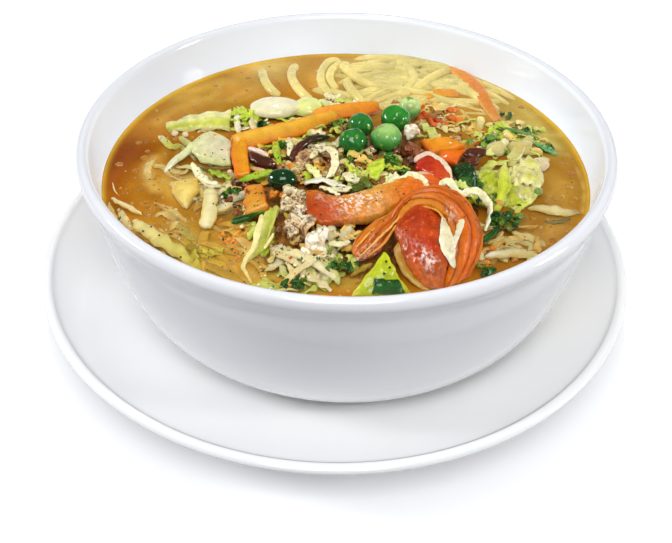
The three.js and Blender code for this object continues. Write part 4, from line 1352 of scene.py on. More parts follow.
onion = {
    "broad": 3.0, "fine": 0.7, "fineShare": 0.4, "shade": (0.92, 1.06), "rough": (0.12, 0.32),
    "bump": 0.25, "depth": 0.2, "coat": 0.6, "coatRough": 0.06, "inner": 0.35, "innerDepth": 1.6,
    "glow": (1.0, 0.85, 0.5),
}
onionStrip = {
    "thick": 1.7, "steps": 44, "sides": 14, "rough": 0.3, "roughSize": 2.6, "square": 0.7, "lines": 0.08,
    "lineCount": 5.0, "tones": [(226, 214, 156), (222, 212, 150)], "edge": (212, 186, 96), "reach": 3.0,
}
onionClear = {**onion, "clear": 0.72, "coat": 0.9, "coatRough": 0.03, "inner": 0}
clearOnions = ("onion_spindle", "onion_rib_right", "onion_strip_left")
onions = {
    "onion_strip_left": [
        dict(onionStrip,
             path=[(134, 221, 0.6), (146, 230, 1.2), (160, 240, 1.4), (174, 249, 1.2), (187, 259, 0.8),
                   (193, 266, 0.1)], widths=[2.6, 4.8, 5.4, 5.2, 4.4, 2.6], thick=1.2, rough=0.5,
             ruffle=0.3, waves=4.0,
             tones=[(254, 236, 156), (250, 232, 146), (240, 226, 116), (228, 214, 84)], seed=70),
        *[dict(speck, place=place, size=(0.8, 0.8, 0.5), tones=[(38, 26, 10)])
          for place in ((151, 226.5, 2.6), (159, 235.2, 2.8), (180.5, 257, 2.4), (143, 231, 1.8))],
    ],
    "onion_strip_middle": [
        dict(onionStrip,
             path=[(211, 189, 3.6), (210.5, 199, 4.0), (210.5, 205, 3.8), (208.5, 215, 3.4),
                   (205.5, 228, 2.2)], widths=[3.6, 4.8, 4.6, 5.4, 4.4],
             tones=[(222, 206, 144), (226, 214, 160), (222, 210, 154), (230, 220, 170)], thick=2.1,
             seed=71),
        dict(onionStrip, path=[(214, 210, 3.0), (222, 208.5, 3.0), (229, 206, 2.8), (236, 205, 2.4)],
             widths=[2.4, 2.6, 2.8, 1.6], seed=79, tones=[(228, 216, 158), (232, 220, 170)]),
    ],
    "onion_rib_right": [
        dict(onionStrip,
             path=[(486, 257, 3.2), (494, 254.5, 3.4), (508, 253, 2.8), (524, 254, 1.8), (540, 256.5, 0.8)],
             widths=[2.0, 3.0, 3.4, 3.2, 1.4],
             # the near-white first tone is a painted highlight at the rib's left end
             tones=[(250, 246, 228), (240, 230, 180), (236, 222, 156), (226, 206, 124)], seed=72),
        dict(onionStrip, path=[(470, 245, 3.6), (475, 251, 3.2), (483.5, 260, 2.4)], widths=[2.6, 3.4, 2.6],
             seed=78, tones=[(232, 226, 170), (226, 218, 156)], thick=1.6),
    ],
    "onion_spindle": [
        dict(onionStrip,
             path=[(528, 208, 0.5), (540, 208, 1.2), (553, 210.5, 1.4), (567, 212.5, 1.1), (580, 213, 0.4)],
             widths=[0.8, 3.4, 4.4, 3.2, 0.6],
             tones=[(206, 184, 104), (230, 212, 150), (236, 220, 160), (230, 212, 150), (60, 60, 24)],
             thick=1.4, seed=73),
    ],
    "onion_stub_left": [
        dict(onionStrip,
             path=[(110.5, 198.5, 0.8), (119, 202, 1.1), (127, 206.5, 1.2), (135, 211, 1.1),
                   (141.5, 215, 0.7)], widths=[1.0, 1.7, 1.8, 1.7, 0.9],
             tones=[(236, 216, 166), (230, 206, 148)], thick=1.1, seed=74),
    ],
    "onion_amber": [
        dict(left=[(169, 184, 0.8), (173, 194, 1.4), (180, 204, 1.2), (185, 208, 0.6)],
             right=[(199, 179, 1.2), (199, 190, 1.6), (192, 202, 1.2), (187, 208, 0.6)], thick=2.0,
             bulge=0.9, rows=28, columns=22, rough=0.3, seed=81,
             tones=[(226, 190, 88), (236, 208, 112), (240, 218, 130)], edge=(222, 180, 76), reach=2.0),
    ],
    "onion_oval": [
        dict(place=(275, 108, 2.8), size=(19.6, 12.0, 7.0),
             tones=[(196, 182, 90), (222, 216, 164), (232, 226, 192)], turn=0.05, rough=0.1, seed=83,
             detail=5, mottle=0.04),
    ],
    "onion_half": [
        dict(place=(307, 107, 2.2), size=(11.6, 11.0, 5.6),
             tones=[(196, 196, 90), (218, 222, 132), (226, 228, 146)], rough=0.16, seed=84, mottle=0.08),
    ],
    "onion_pale_1": [
        dict(place=(497, 148, 1.8), size=(6.8, 7.6, 4.2), tones=[(185, 172, 111), (216, 200, 130)],
             rough=0.18, seed=86, mottle=0.1),
    ],
    "onion_pale_2": [
        dict(place=(520, 148, 1.4), size=(8.2, 9.2, 3.8), tones=[(177, 159, 92), (206, 186, 108)],
             rough=0.18, seed=87, mottle=0.1),
    ],
    "onion_pale_3": [
        dict(place=(540, 165, 1.2), size=(6.2, 6.6, 3.4), tones=[(197, 177, 137), (230, 206, 160)],
             rough=0.18, seed=88, mottle=0.1),
    ],
}

# Curds of egg

egg = {
    "broad": 1.6, "fine": 0.4, "fineShare": 0.6, "shade": (0.86, 1.08), "rough": (0.22, 0.5),
    "bump": 0.6, "depth": 0.3, "coat": 0.25, "coatRough": 0.06, "inner": 0.2, "innerDepth": 1.0,
    "glow": (1.0, 0.75, 0.5),
}
# curds are painted from a brown underside to a pale top and brown in their creases: partly broth stain,
# partly painted shade
curd = {
    "rough": 0.6, "folds": 0.13, "foldSize": 0.45, "detail": 5, "deep": (116, 74, 42), "mottle": 0.16,
    "tones": [(178, 136, 88), (216, 196, 158), (228, 218, 194)], "fleck": (140, 94, 58), "fleckShare": 0.16,
    "fleckSize": 0.6,
}
smoothCurd = {
    **curd, "folds": 0.05, "foldSize": 0.6, "rough": 0.45, "deep": (196, 158, 110),
    "fleck": (206, 172, 126), "fleckShare": 0.08,
    "tones": [(214, 184, 124), (238, 228, 196), (244, 238, 218)],
}
greyish = {
    "tones": [(126, 78, 30), (216, 184, 124), (240, 226, 182)], "deep": (112, 56, 16), "foldSize": 0.75,
}
whitish = {
    "tones": [(116, 60, 20), (208, 166, 106), (246, 232, 194)], "deep": (92, 44, 12), "foldSize": 0.8,
}
pinkish = {
    "tones": [(160, 92, 46), (196, 142, 88), (212, 172, 122)],
}
# lumps: place, size, and anything else of their look
curds = {
    "egg_1": [
        ((311, 156, 6.4), (8.6, 8.0, 6.0), pinkish),
        ((303, 166, 5.6), (5.4, 5.0, 4.4), pinkish),
        ((322, 152, 7.0), (6.6, 7.6, 5.6), {"tones": [(206, 170, 120), (230, 214, 176)]}),
    ],
    "egg_2": [
        ((290, 195, 7.4), (6.0, 6.4, 4.6), greyish),
        ((298, 200, 7.2), (5.4, 6.0, 4.6), greyish),
        ((301, 209, 6.8), (4.4, 5.6, 4.4), whitish),
        ((288, 207, 6.2), (4.4, 5.0, 4.0), greyish),
    ],
    "egg_3": [
        ((290, 226, 6.2), (6.0, 7.2, 5.0), whitish),
        ((302, 222, 7.0), (5.8, 8.0, 5.4), whitish),
        ((298, 214, 7.2), (4.6, 4.2, 3.6), {"tones": [(200, 170, 130), (236, 226, 204)]}),
        ((294, 233, 5.4), (5.0, 4.0, 3.6), whitish),
    ],
    "egg_4": [
        ((316, 242, 6.0), (5.6, 7.6, 5.0), smoothCurd),
        ((323, 235, 7.0), (4.6, 5.4, 4.4), smoothCurd),
        ((310, 250, 4.6), (4.4, 4.0, 3.4), smoothCurd),
        ((319, 250, 4.8), (3.8, 3.6, 3.4), smoothCurd),
    ],
    "egg_5": [
        ((410, 133, 7.6), (5.6, 5.8, 4.6), smoothCurd),
    ],
    "egg_6": [
        ((280, 251, 3.2), (5.4, 3.4, 3.0), {**smoothCurd, "tones": [(206, 180, 130), (226, 216, 184)]}),
        ((290, 255, 3.2), (4.6, 3.2, 2.8), smoothCurd),
    ],
}


def curdParts():
    # every lump turned a little further than the one before
    return {
        node: [
            dict(curd, place=place, size=size, seed=100 + 7 * number + part, turn=0.5 * part, **own)
            for part, (place, size, own) in enumerate(parts)
        ]
        for number, (node, parts) in enumerate(curds.items())
    }


# Mushroom and browned meat

mushroom = {
    "broad": 2.0, "fine": 0.5, "fineShare": 0.5, "shade": (0.7, 1.25), "rough": (0.12, 0.34),
    "bump": 0.5, "depth": 0.3, "coat": 0.6, "coatRough": 0.08,
}
mushrooms = {
    "mushroom_strip": [
        dict(path=[(291, 161, 7.2), (296, 151, 8.2), (304, 143, 8.8), (316, 139, 8.8), (330, 137, 8.0)],
             widths=[1.8, 3.0, 3.4, 3.2, 1.4], thick=2.2, seed=120, lines=0.2, rough=0.25,
             tones=[(86, 40, 18), (76, 34, 16), (54, 40, 16), (34, 44, 14)]),
    ],
    "mushroom_left": [
        dict(left=[(248, 153, 6.4), (262, 156, 6.8), (277, 164, 6.4)],
             right=[(250, 162, 5.2), (262, 168, 5.4), (273, 169, 5.4)], thick=2.6, bulge=0.4, seed=121,
             tones=[(84, 36, 16), (66, 28, 12), (82, 36, 18)], lines=0.2, rough=0.25),
        dict(path=[(248, 148, 7.4), (257, 150.5, 7.8), (268, 156, 7.6)], widths=[1.2, 2.2, 1.4], thick=1.4,
             seed=122, tones=[(236, 210, 196), (230, 200, 170)]),
        dict(path=[(250, 168, 6.0), (259, 170, 6.2), (266, 171, 6.0)], widths=[1.2, 2.0, 1.2], thick=1.4,
             seed=123, tones=[(206, 150, 90), (214, 170, 120)]),
    ],
    "mushroom_right": [
        dict(place=(474, 154, 6.2), size=(8.4, 4.6, 3.6), tones=[(50, 20, 10), (84, 38, 20)], turn=0.15,
             seed=124),
        dict(place=(472, 162, 5.4), size=(5.4, 4.2, 3.4), tones=[(60, 24, 12), (96, 44, 22)], turn=0.4,
             seed=125),
    ],
    "meat_brown": [
        dict(place=(409, 149, 6.4), size=(6.0, 6.2, 5.0), rough=0.3, folds=0.2, seed=126,
             tones=[(96, 42, 18), (140, 74, 34), (160, 92, 48)], deep=(90, 38, 16)),
        dict(place=(417, 153, 6.0), size=(4.6, 4.6, 3.6), rough=0.3, folds=0.2, seed=127,
             tones=[(96, 42, 18), (150, 84, 44)], deep=(90, 38, 16)),
    ],
}

# Herbs

herb = {
    "broad": 1.4, "fine": 0.4, "fineShare": 0.5, "shade": (0.7, 1.3), "rough": (0.1, 0.34),
    "bump": 0.7, "depth": 0.3, "coat": 0.5, "coatRough": 0.05,
}
herbs = {
    "stem_green": [
        dict(path=[(231, 222.5, 4.0), (240, 219.5, 4.8), (249, 217, 5.2), (257, 213, 5.6),
                   (266, 209.5, 6.0)], widths=[2.4, 2.4, 2.2, 2.0, 1.4], thick=1.9, seed=140, rough=0.2,
             lines=0.25, lineCount=3.0,
             tones=[(24, 96, 24), (18, 72, 14), (24, 70, 12), (70, 110, 20), (150, 170, 30)]),
    ],
    "leaf_dark_right": [
        dict(leaf, left=[(453, 165, 5.6), (454, 174, 5.8), (461, 186, 4.8)],
             right=[(468, 163, 6.2), (475, 172, 6.0), (478, 188, 4.6)], thick=0.9, seed=141, ruffle=1.0,
             bulge=1.2, tones=[(20, 66, 12), (16, 52, 8), (24, 76, 16)], rough=0.5, roughSize=1.6),
        dict(centre=(466, 180, 5.4), reach=(3.0, 3.2, 1.0), count=10, size=3.6, tones=greens, seed=142),
    ],
    "leaf_cluster_right": [
        dict(centre=(507, 220, 3.2), reach=(4.6, 3.6, 1.2), count=28, size=3.2,
             tones=greens + [(120, 120, 30)], seed=143),
        dict(path=[(499, 228, 3.4), (488, 237, 2.8), (476, 249, 1.8)], widths=[2.2, 2.2, 1.6], thick=1.6,
             seed=144, rough=0.3, tones=[(18, 66, 12), (30, 90, 18), (20, 70, 12)]),
    ],
}

# The heap under the toppings, smaller than the whole so that the real pieces lie on it

heapCore = {
    "broad": 2.4, "fine": 0.6, "fineShare": 0.5, "shade": (0.6, 1.25), "rough": (0.1, 0.4),
    "bump": 0.6, "depth": 0.5, "coat": 0.35, "coatRough": 0.06, "inner": 0.15, "innerDepth": 1.0,
    "glow": (1.0, 0.6, 0.25),
    "rings": 76,
    "around": 250,
    "sink": 1.7,
    "relief": 1.1,
    "reliefSize": 3.4,
    "bottom": -5.0,
    "tint": (150, 96, 38),
    # the dark zones under the slice, under and beside the tomato and beside the peas are painted shade in
    # the gaps between pieces
    "zones": {
        "middle": ((290, 165), 14, (86, 42, 16), 0.9),
        "left": ((245, 190), 10, (128, 72, 28), 0.8),
        "underPeas": ((350, 165), 10, (160, 108, 46), 0.7),
        "besidePeas": ((390, 160), 8, (60, 50, 18), 0.8),
        "right": ((455, 165), 12, (84, 56, 24), 0.8),
        "rightLeaves": ((505, 190), 12, (104, 96, 30), 0.8),
        "rightFront": ((500, 240), 12, (172, 112, 46), 0.8),
        "frontMiddle": ((295, 245), 12, (146, 92, 38), 0.8),
        "frontHerbs": ((340, 255), 9, (88, 84, 24), 0.8),
        "frontLeft": ((250, 260), 14, (176, 118, 44), 0.8),
        "front": ((310, 280), 14, (180, 136, 54), 0.9),
        "frontLeftInner": ((262, 262), 14, (178, 116, 40), 0.9),
        "frontLeftOuter": ((222, 252), 13, (188, 126, 32), 0.9),
        "leftFront": ((210, 215), 12, (196, 144, 62), 0.8),
        "underTomato": ((430, 215), 14, (110, 42, 16), 0.9),
        "shadeUnderSlice": ((355, 228), 6, (66, 28, 8), 0.95),
        "besideTomato": ((480, 212), 5, (84, 30, 10), 0.9),
        "behindCarrot": ((430, 120), 10, (170, 84, 34), 0.8),
        "farMiddle": ((360, 105), 12, (206, 190, 110), 0.8),
        "farLeft": ((310, 110), 10, (196, 184, 96), 0.7),
        "farRight": ((480, 130), 12, (150, 110, 44), 0.8),
    },
}


def heapShape():
    rings, around = heapCore["rings"], heapCore["around"]
    share = np.linspace(0, 1.08, rings + 1)[1:, None]
    turn = np.arange(around)[None, :] / around * 2 * math.pi
    points = np.zeros((rings + 1, around, 3))
    points[:rings, :, 0] = heap["middle"][0] + heap["reach"][0] * share * np.cos(turn)
    points[:rings, :, 1] = heap["middle"][1] + heap["reach"][1] * share * np.sin(turn)
    points[rings] = points[rings - 1]
    points = points.reshape(-1, 3)
    relief = grain(points * [1, 1, 0], heapCore["reliefSize"], 8, 3)
    fade = np.clip((1.08 - np.repeat(np.append(share, 1.08), around)) * 8, 0, 1)
    height = heapTop(points) - heapCore["sink"] + heapCore["relief"] * relief * fade
    points[:, 2] = dish["brothLevel"] + height
    points[-around:, 2] = dish["brothLevel"] + heapCore["bottom"]
    middle = np.array([*heap["middle"],
                       dish["brothLevel"] + heap["rise"] + heap["edge"] - heapCore["sink"]])
    below = np.array([*heap["middle"], dish["brothLevel"] + heapCore["bottom"]])
    points = insideBowl(np.vstack([points, middle, below]))
    count = len(points)
    return {
        "points": points,
        "faces": ringFaces(rings + 1, around),
        "along": np.zeros(count),
        "across": np.zeros(count),
        "depth": np.zeros(count),
    }, relief


def makeHeap():
    shape, relief = heapShape()
    tints = zoned(shape["points"], heapCore["tint"], heapCore["zones"])
    shade = np.append(relief, [0, 0])[:, None]
    # the heap's rises are painted lighter and its hollows darker: painted light and shade
    tints = tints * (1 + 0.35 * shade)
    batch = newBatch()
    addShape(batch, shape, tints)
    makePiece("heapCore", batch, unevenMaterial("heapDepth", heapCore), ("noodle_heap",))


# Noodles at the far side: round strands swept along their paths

noodles = {
    "broad": 4.0, "fine": 0.8, "fineShare": 0.3, "shade": (0.93, 1.06), "rough": (0.16, 0.34),
    "bump": 0.2, "depth": 0.2, "coat": 0.3, "coatRough": 0.08, "pale": 0.6, "inner": 0.3, "innerDepth": 1.4,
    "glow": (1.0, 0.8, 0.4),
    "tint": (222, 202, 122),
    "shadeShare": 0.14,
    "across": 3.7,
    "sides": 10,
    "droop": 2.6,            # how far the ends of a strand hang
    "paths": {
        "leftLoop": [(262, 71, 0.2), (263, 76, 0.5), (266, 83, 0.7), (271, 90, 0.4), (279, 97, -0.6)],
        "secondLoop": [(296, 66, 0.2), (292, 71, 0.8), (292, 78, 1.0), (296, 86, 1.0), (303, 94, 0.8),
                       (311, 101, 0.0)],
        "broadLoop": [(340, 62, 0.6), (330, 62, 1.2), (323, 70, 1.4), (321, 79, 1.2), (324, 88, 0.9),
                      (331, 96, 0.2)],
        "broadInner": [(350, 66, 0.6), (339, 66, 1.2), (331, 72, 1.4), (330, 81, 1.2), (336, 90, 0.6)],
        "slope": [(338, 66, 0.8), (346, 70, 1.8), (354, 76, 2.2), (363, 82, 1.8), (374, 86, 0.9),
                  (385, 88, 0.0)],
        "slopeUnder": [(346, 82, 0.4), (350, 88, 1.6), (356, 96, 1.7), (363, 104, 0.8)],
        "brightRight": [(412, 92, 0.3), (420, 86, 1.2), (430, 79, 1.5), (440, 74, 1.1), (452, 72, 0.2)],
        "rightArc": [(396, 62, 0.3), (408, 68, 1.0), (414, 78, 1.1), (408, 90, 0.6)],
        "farRight": [(466, 90, 0.2), (476, 97, 0.3), (487, 104, 0.1), (498, 112, -0.6)],
    },
    # strands side by side: middle and reach of their oval, how many, heading, its spread, heights
    "layers": {
        "farTop": ((398, 64), (44, 7), 13, 2, 10, (-0.6, 0.7)),
        "farMiddle": ((392, 78), (40, 9), 15, -8, 22, (-0.7, 0.8)),
        "nearLeft": ((362, 92), (38, 9), 11, 10, 30, (-0.8, 0.4)),
        "right": ((446, 84), (22, 10), 6, -25, 20, (-1.0, 0.1)),
        "near": ((420, 98), (34, 6), 6, 0, 25, (-1.0, 0.2)),
        "farRight": ((486, 108), (14, 8), 3, -30, 18, (-1.7, -1.3)),
    },
}


def thrown(at, reach, chance):
    # a place inside an oval of the picture
    turn, apart = chance.uniform(0, 2 * math.pi), math.sqrt(chance.uniform(0, 1))
    return at[0] + reach[0] * apart * math.cos(turn), at[1] + reach[1] * apart * math.sin(turn)


def bentPath(centre, heading, bend, long, count):
    # a level path of this length round its centre, and how far along it each of its points lies
    stops = np.linspace(-0.5, 0.5, count) * long
    angles = heading + bend * stops
    steps = np.stack([np.cos(angles), np.sin(angles), 0 * angles], axis=1) * long / (count - 1)
    return centre + np.cumsum(steps, axis=0) - steps.sum(axis=0) / 2, stops


def layerPaths():
    chance = np.random.default_rng(12)
    found = []
    for at, reach, count, heading, spread, heights in noodles["layers"].values():
        for number in range(count):
            place = thrown(at, reach, chance)
            centre = spots([(*place, chance.uniform(*heights))])[0]
            angle = math.radians(chance.normal(heading, spread))
            path = bentPath(centre, angle, chance.normal(0, 0.02), chance.uniform(26, 48), 7)[0]
            path[:, 2] -= noodles["droop"] * np.abs(np.linspace(-1, 1, 7)) ** 3
            found.append(insideBowl(path))
    return found


def noodleCurves(paths):
    # one curve object with a smooth line for each noodle
    curve = bpy.data.curves.new("noodlePaths", "CURVE")
    curve.dimensions = "3D"
    for path in paths:
        line = curveThrough(path, 26) * mm
        spline = curve.splines.new("POLY")
        spline.points.add(len(line) - 1)
        for point, place in zip(spline.points, line):
            point.co = (*place, 1.0)
    return curve


def noodleSweep():
    # a round section swept along each path, thinner at its ends
    kinds = {"Across": "Float", "Sides": "Int", "Surface": "Material"}
    tree, sockets = geometryTree("sweptNoodles", "Paths", kinds, "Noodles")
    nodes = placeNodes(tree, {
        "given": ("NodeGroupInput",),
        "result": ("NodeGroupOutput",),
        "half": ("ShaderNodeMath", {"operation": "DIVIDE"}, {1: 2.0}),
        "ring": ("GeometryNodeCurvePrimitiveCircle",),
        "along": ("GeometryNodeSplineParameter",),
        "slim": ("ShaderNodeFloatCurve",),
        "sweep": ("GeometryNodeCurveToMesh", {}, {"Fill Caps": True}),
        "real": ("GeometryNodeRealizeInstances",),
        "cover": ("GeometryNodeSetMaterial",),
    })
    shape = nodes["slim"].mapping.curves[0]
    shape.points[0].location = (0.0, 0.45)
    shape.points[1].location = (1.0, 0.45)
    shape.points.new(0.05, 0.95)
    shape.points.new(0.95, 0.95)
    nodes["slim"].mapping.update()
    joinNodes(tree, nodes, [
        ("given", "Across", "half", 0),
        ("half", 0, "ring", "Radius"),
        ("given", "Sides", "ring", "Resolution"),
        ("along", "Factor", "slim", "Value"),
        ("given", "Paths", "sweep", "Curve"),
        ("ring", "Curve", "sweep", "Profile Curve"),
        ("slim", "Value", "sweep", "Scale"),
        ("sweep", "Mesh", "real", "Geometry"),
        ("real", "Geometry", "cover", "Geometry"),
        ("given", "Surface", "cover", "Material"),
        ("cover", "Geometry", "result", "Noodles"),
    ])
    return tree, sockets


def paintedNoodles(points):
    shade = noodles["shadeShare"] * grain(points, 7.0, 31)[:, None]
    return soaked(points, tone(*noodles["tint"]) * (1 + shade))


def makeNoodles():
    paths = [insideBowl(spots(path)) for path in noodles["paths"].values()] + layerPaths()
    material = unevenMaterial("noodleDough", noodles)
    mesh = grownMesh("farNoodles", noodleCurves(paths), *noodleSweep(), {
        "Across": noodles["across"] * mm,
        "Sides": noodles["sides"],
        "Surface": material,
    })
    tints = paintedNoodles(meshPoints(mesh) / mm)
    finishPiece("farNoodles", mesh, tints, material, ("noodles_far",))


# Loose pieces that lie on the heap, each placed by the picture with its height over the heap

def addShreds(batch, area, look, seed):
    # strips thrown over an oval of the picture, each bent and laid over the heap
    at, reach, count, heading, spread, lifts, lengths, acrosses, palette = area
    chance = np.random.default_rng(seed)
    for number in range(count):
        lift = chance.uniform(*lifts)
        centre = onHeap([(*thrown(at, reach, chance), lift)])[0]
        angle = math.radians(chance.normal(heading, spread))
        long, wide = chance.uniform(*lengths), chance.uniform(*acrosses)
        bend, tilt = chance.normal(0, 0.09), chance.normal(0, 0.12)
        path, stops = bentPath(centre, angle, bend, long, 6)
        rise = np.maximum(heapTop(path), 0) - np.maximum(heapTop(centre[None]), 0)
        path[:, 2] = centre[2] + rise + tilt * stops + chance.normal(0, 0.35, 6)
        shares = [chance.uniform(0.3, 0.8), 1, chance.uniform(0.8, 1.1), 1, chance.uniform(0.3, 0.8)]
        tones = palette[chance.integers(len(palette))]
        lean = chance.normal(0, 0.6, 3)
        strip = dict(look, path=path, widths=wide * np.array(shares), tones=tones, lean=lean)
        addPart(batch, dict(strip, seed=seed * 50 + number), np.asarray)


def addCrumbs(batch, area, look, seed):
    # small lumps thrown over an oval of the picture
    at, reach, count, lifts, sizes, palette = area
    chance = np.random.default_rng(seed)
    for number in range(count):
        lift = chance.uniform(*lifts)
        size = chance.uniform(*sizes) * np.array([1.0, chance.uniform(0.6, 1.0), chance.uniform(0.5, 0.8)])
        tones = palette[chance.integers(len(palette))]
        turn = chance.uniform(0, 3.1)
        place = (*thrown(at, reach, chance), lift)
        part = dict(look, place=place, size=size, tones=tones, turn=turn)
        addPart(batch, dict(part, seed=seed * 50 + number), onHeap)


cream = [(232, 218, 162), (242, 230, 180), (244, 234, 188)]
creamGreen = [(220, 218, 124), (232, 228, 148), (238, 232, 166)]
limePale = [(202, 208, 80), (214, 218, 106), (206, 212, 88)]
limeBright = [(178, 198, 42), (196, 212, 58), (184, 202, 46)]
amberClear = [(226, 180, 84), (236, 194, 102), (218, 168, 70)]
goldClear = [(236, 202, 110), (244, 216, 132), (232, 196, 102)]
oliveDark = [(74, 92, 20), (104, 118, 34)]
brownClear = [(150, 92, 34), (176, 116, 52)]
creamWarm = [(228, 206, 126), (238, 220, 146)]
amberDeep = [(224, 172, 62), (232, 184, 76)]

# shreds: middle and reach of their oval, how many, heading and its spread in degrees, height over the heap,
# length, width, palettes
shred = {
    "thick": 0.8, "steps": 16, "sides": 7, "square": 0.8, "rough": 0.2, "roughSize": 1.4, "ruffle": 0.22,
    "waves": 3.0, "mottle": 0.1, "lines": 0.1, "lineCount": 4.0,
}
shredAreas = {
    "upperLeft": ((232, 125), (30, 14), 12, 10, 40, (0.2, 1.2), (7, 14), (2.0, 4.2),
                  [creamGreen, limePale, cream, limeBright]),
    "belowOval": ((285, 127), (34, 10), 12, 15, 50, (0.2, 1.6), (6, 12), (1.6, 3.2),
                  [limeBright, creamGreen, cream]),
    "behindPeas": ((338, 105), (26, 10), 14, 20, 50, (0.2, 1.6), (6, 12), (2.0, 3.8),
                   [cream, creamGreen, limePale]),
    "leftSoft": ((185, 165), (30, 22), 10, -40, 35, (0.0, 0.5), (8, 16), (2.0, 3.6),
                 [goldClear, amberClear, creamGreen]),
    "leftMiddle": ((214, 190), (24, 20), 22, 60, 50, (0.1, 1.0), (7, 15), (2.0, 4.0),
                   [cream, goldClear, amberClear, creamGreen]),
    "brownMiddle": ((290, 160), (44, 24), 24, 20, 60, (0.3, 1.7), (6, 12), (1.8, 3.6),
                    [creamWarm, amberDeep, amberDeep, limeBright]),
    "underPeas": ((358, 168), (42, 18), 44, 10, 60, (0.4, 2.2), (5, 12), (2.0, 4.2),
                  [creamWarm, oliveDark, limePale, amberDeep, brownClear, oliveDark, brownClear]),
    "besidePeas": ((322, 140), (26, 12), 16, 20, 60, (0.3, 1.6), (5, 10), (1.8, 3.4),
                   [cream, creamGreen, limePale]),
    "behindCarrot": ((418, 112), (34, 12), 16, 0, 50, (0.2, 1.8), (5, 11), (2.0, 3.6),
                     [creamWarm, goldClear, amberDeep, brownClear]),
    "rightTop": ((448, 128), (34, 22), 24, -10, 50, (0.2, 1.6), (6, 12), (2.0, 3.8),
                 [creamWarm, limePale, amberDeep, amberClear]),
    "rightFar": ((512, 142), (34, 24), 22, -30, 40, (-0.2, 0.8), (7, 13), (2.4, 4.4),
                 [limePale, goldClear, creamGreen]),
    "rightLeaves": ((500, 185), (30, 22), 24, 70, 50, (0.2, 1.6), (6, 12), (2.4, 4.4),
                    [limePale, limeBright, creamGreen]),
    "rightFront": ((505, 245), (34, 22), 20, 10, 40, (0.0, 1.2), (7, 14), (2.0, 3.6),
                   [goldClear, amberClear, creamWarm, creamWarm]),
    "frontMiddle": ((305, 250), (44, 26), 20, 70, 55, (0.4, 2.0), (6, 13), (2.0, 4.0),
                    [cream, creamWarm, creamGreen, amberDeep, goldClear]),
    "frontLeft": ((228, 250), (36, 26), 14, -55, 35, (0.0, 0.9), (8, 17), (2.0, 4.2),
                  [amberDeep, amberDeep, amberClear, amberDeep]),
    "frontEdge": ((300, 284), (44, 9), 12, 20, 45, (0.0, 1.2), (5, 11), (2.0, 3.8),
                  [creamGreen, cream, limePale]),
    "underTomato": ((352, 238), (20, 10), 8, 20, 50, (0.2, 1.2), (5, 10), (2.0, 3.6),
                    [amberClear, cream, goldClear]),
    "leftEdge": ((150, 238), (30, 20), 9, -35, 14, (-0.3, 0.3), (9, 18), (1.2, 2.4),
                 [amberClear, goldClear]),
}
limeAreas = {
    "farLeft": ((241, 118), (9, 8), 6, 20, 40, (1.6, 2.6), (5, 8), (3.2, 4.6), [limeBright]),
    "besideCarrot": ((262, 138), (26, 12), 6, 60, 50, (0.6, 2.0), (4, 8), (2.4, 4.6),
                     [limeBright, [(120, 156, 30), (150, 180, 44)]]),
    "middle": ((372, 172), (26, 12), 9, 50, 50, (0.8, 2.2), (4, 8), (2.2, 4.0), [limeBright, limePale]),
    "rightTop": ((490, 145), (34, 20), 12, 40, 60, (0.2, 1.2), (4, 8), (2.6, 4.4),
                 [[(110, 140, 40), (150, 170, 60)], limeBright]),
    "right": ((498, 190), (26, 22), 10, 60, 50, (0.5, 1.8), (5, 9), (2.6, 4.6), [limeBright, limePale]),
    "frontLeft": ((212, 252), (24, 14), 3, -40, 40, (0.1, 0.8), (6, 11), (2.6, 4.6),
                  [[(190, 172, 50), (204, 186, 66)]]),
    "front": ((342, 262), (20, 14), 7, 20, 60, (0.4, 1.8), (4, 8), (2.2, 4.0),
              [limeBright, limePale, [(130, 150, 40), (160, 170, 60)]]),
    "curlSide": ((262, 232), (14, 22), 6, 80, 30, (0.4, 1.4), (5, 9), (2.4, 4.0), [limeBright, limePale]),
    "behindPeas": ((334, 122), (16, 9), 6, 30, 60, (0.8, 2.0), (4, 8), (2.0, 3.6),
                   [[(120, 150, 40), (160, 180, 70)], creamWarm]),
}
carrotAreas = {
    "front": ((238, 234), (26, 18), 7, 50, 40, (0.1, 0.7), (2.5, 6), (0.9, 1.7),
              [[(222, 140, 44), (228, 156, 56)]]),
    "redBits": ((436, 118), (20, 14), 8, -30, 50, (0.6, 1.8), (4, 8), (2.0, 3.4),
                [[(206, 70, 26), (224, 104, 36)], [(214, 96, 34), (232, 130, 44)]]),
    "right": ((496, 250), (26, 16), 5, 10, 60, (0.2, 0.9), (2.5, 5), (1.6, 2.4),
              [[(224, 124, 36), (236, 150, 50)]]),
    "middle": ((300, 190), (60, 30), 7, 10, 70, (0.8, 2.0), (2.0, 4.5), (1.2, 2.0),
               [[(230, 130, 36), (240, 160, 50)]]),
}
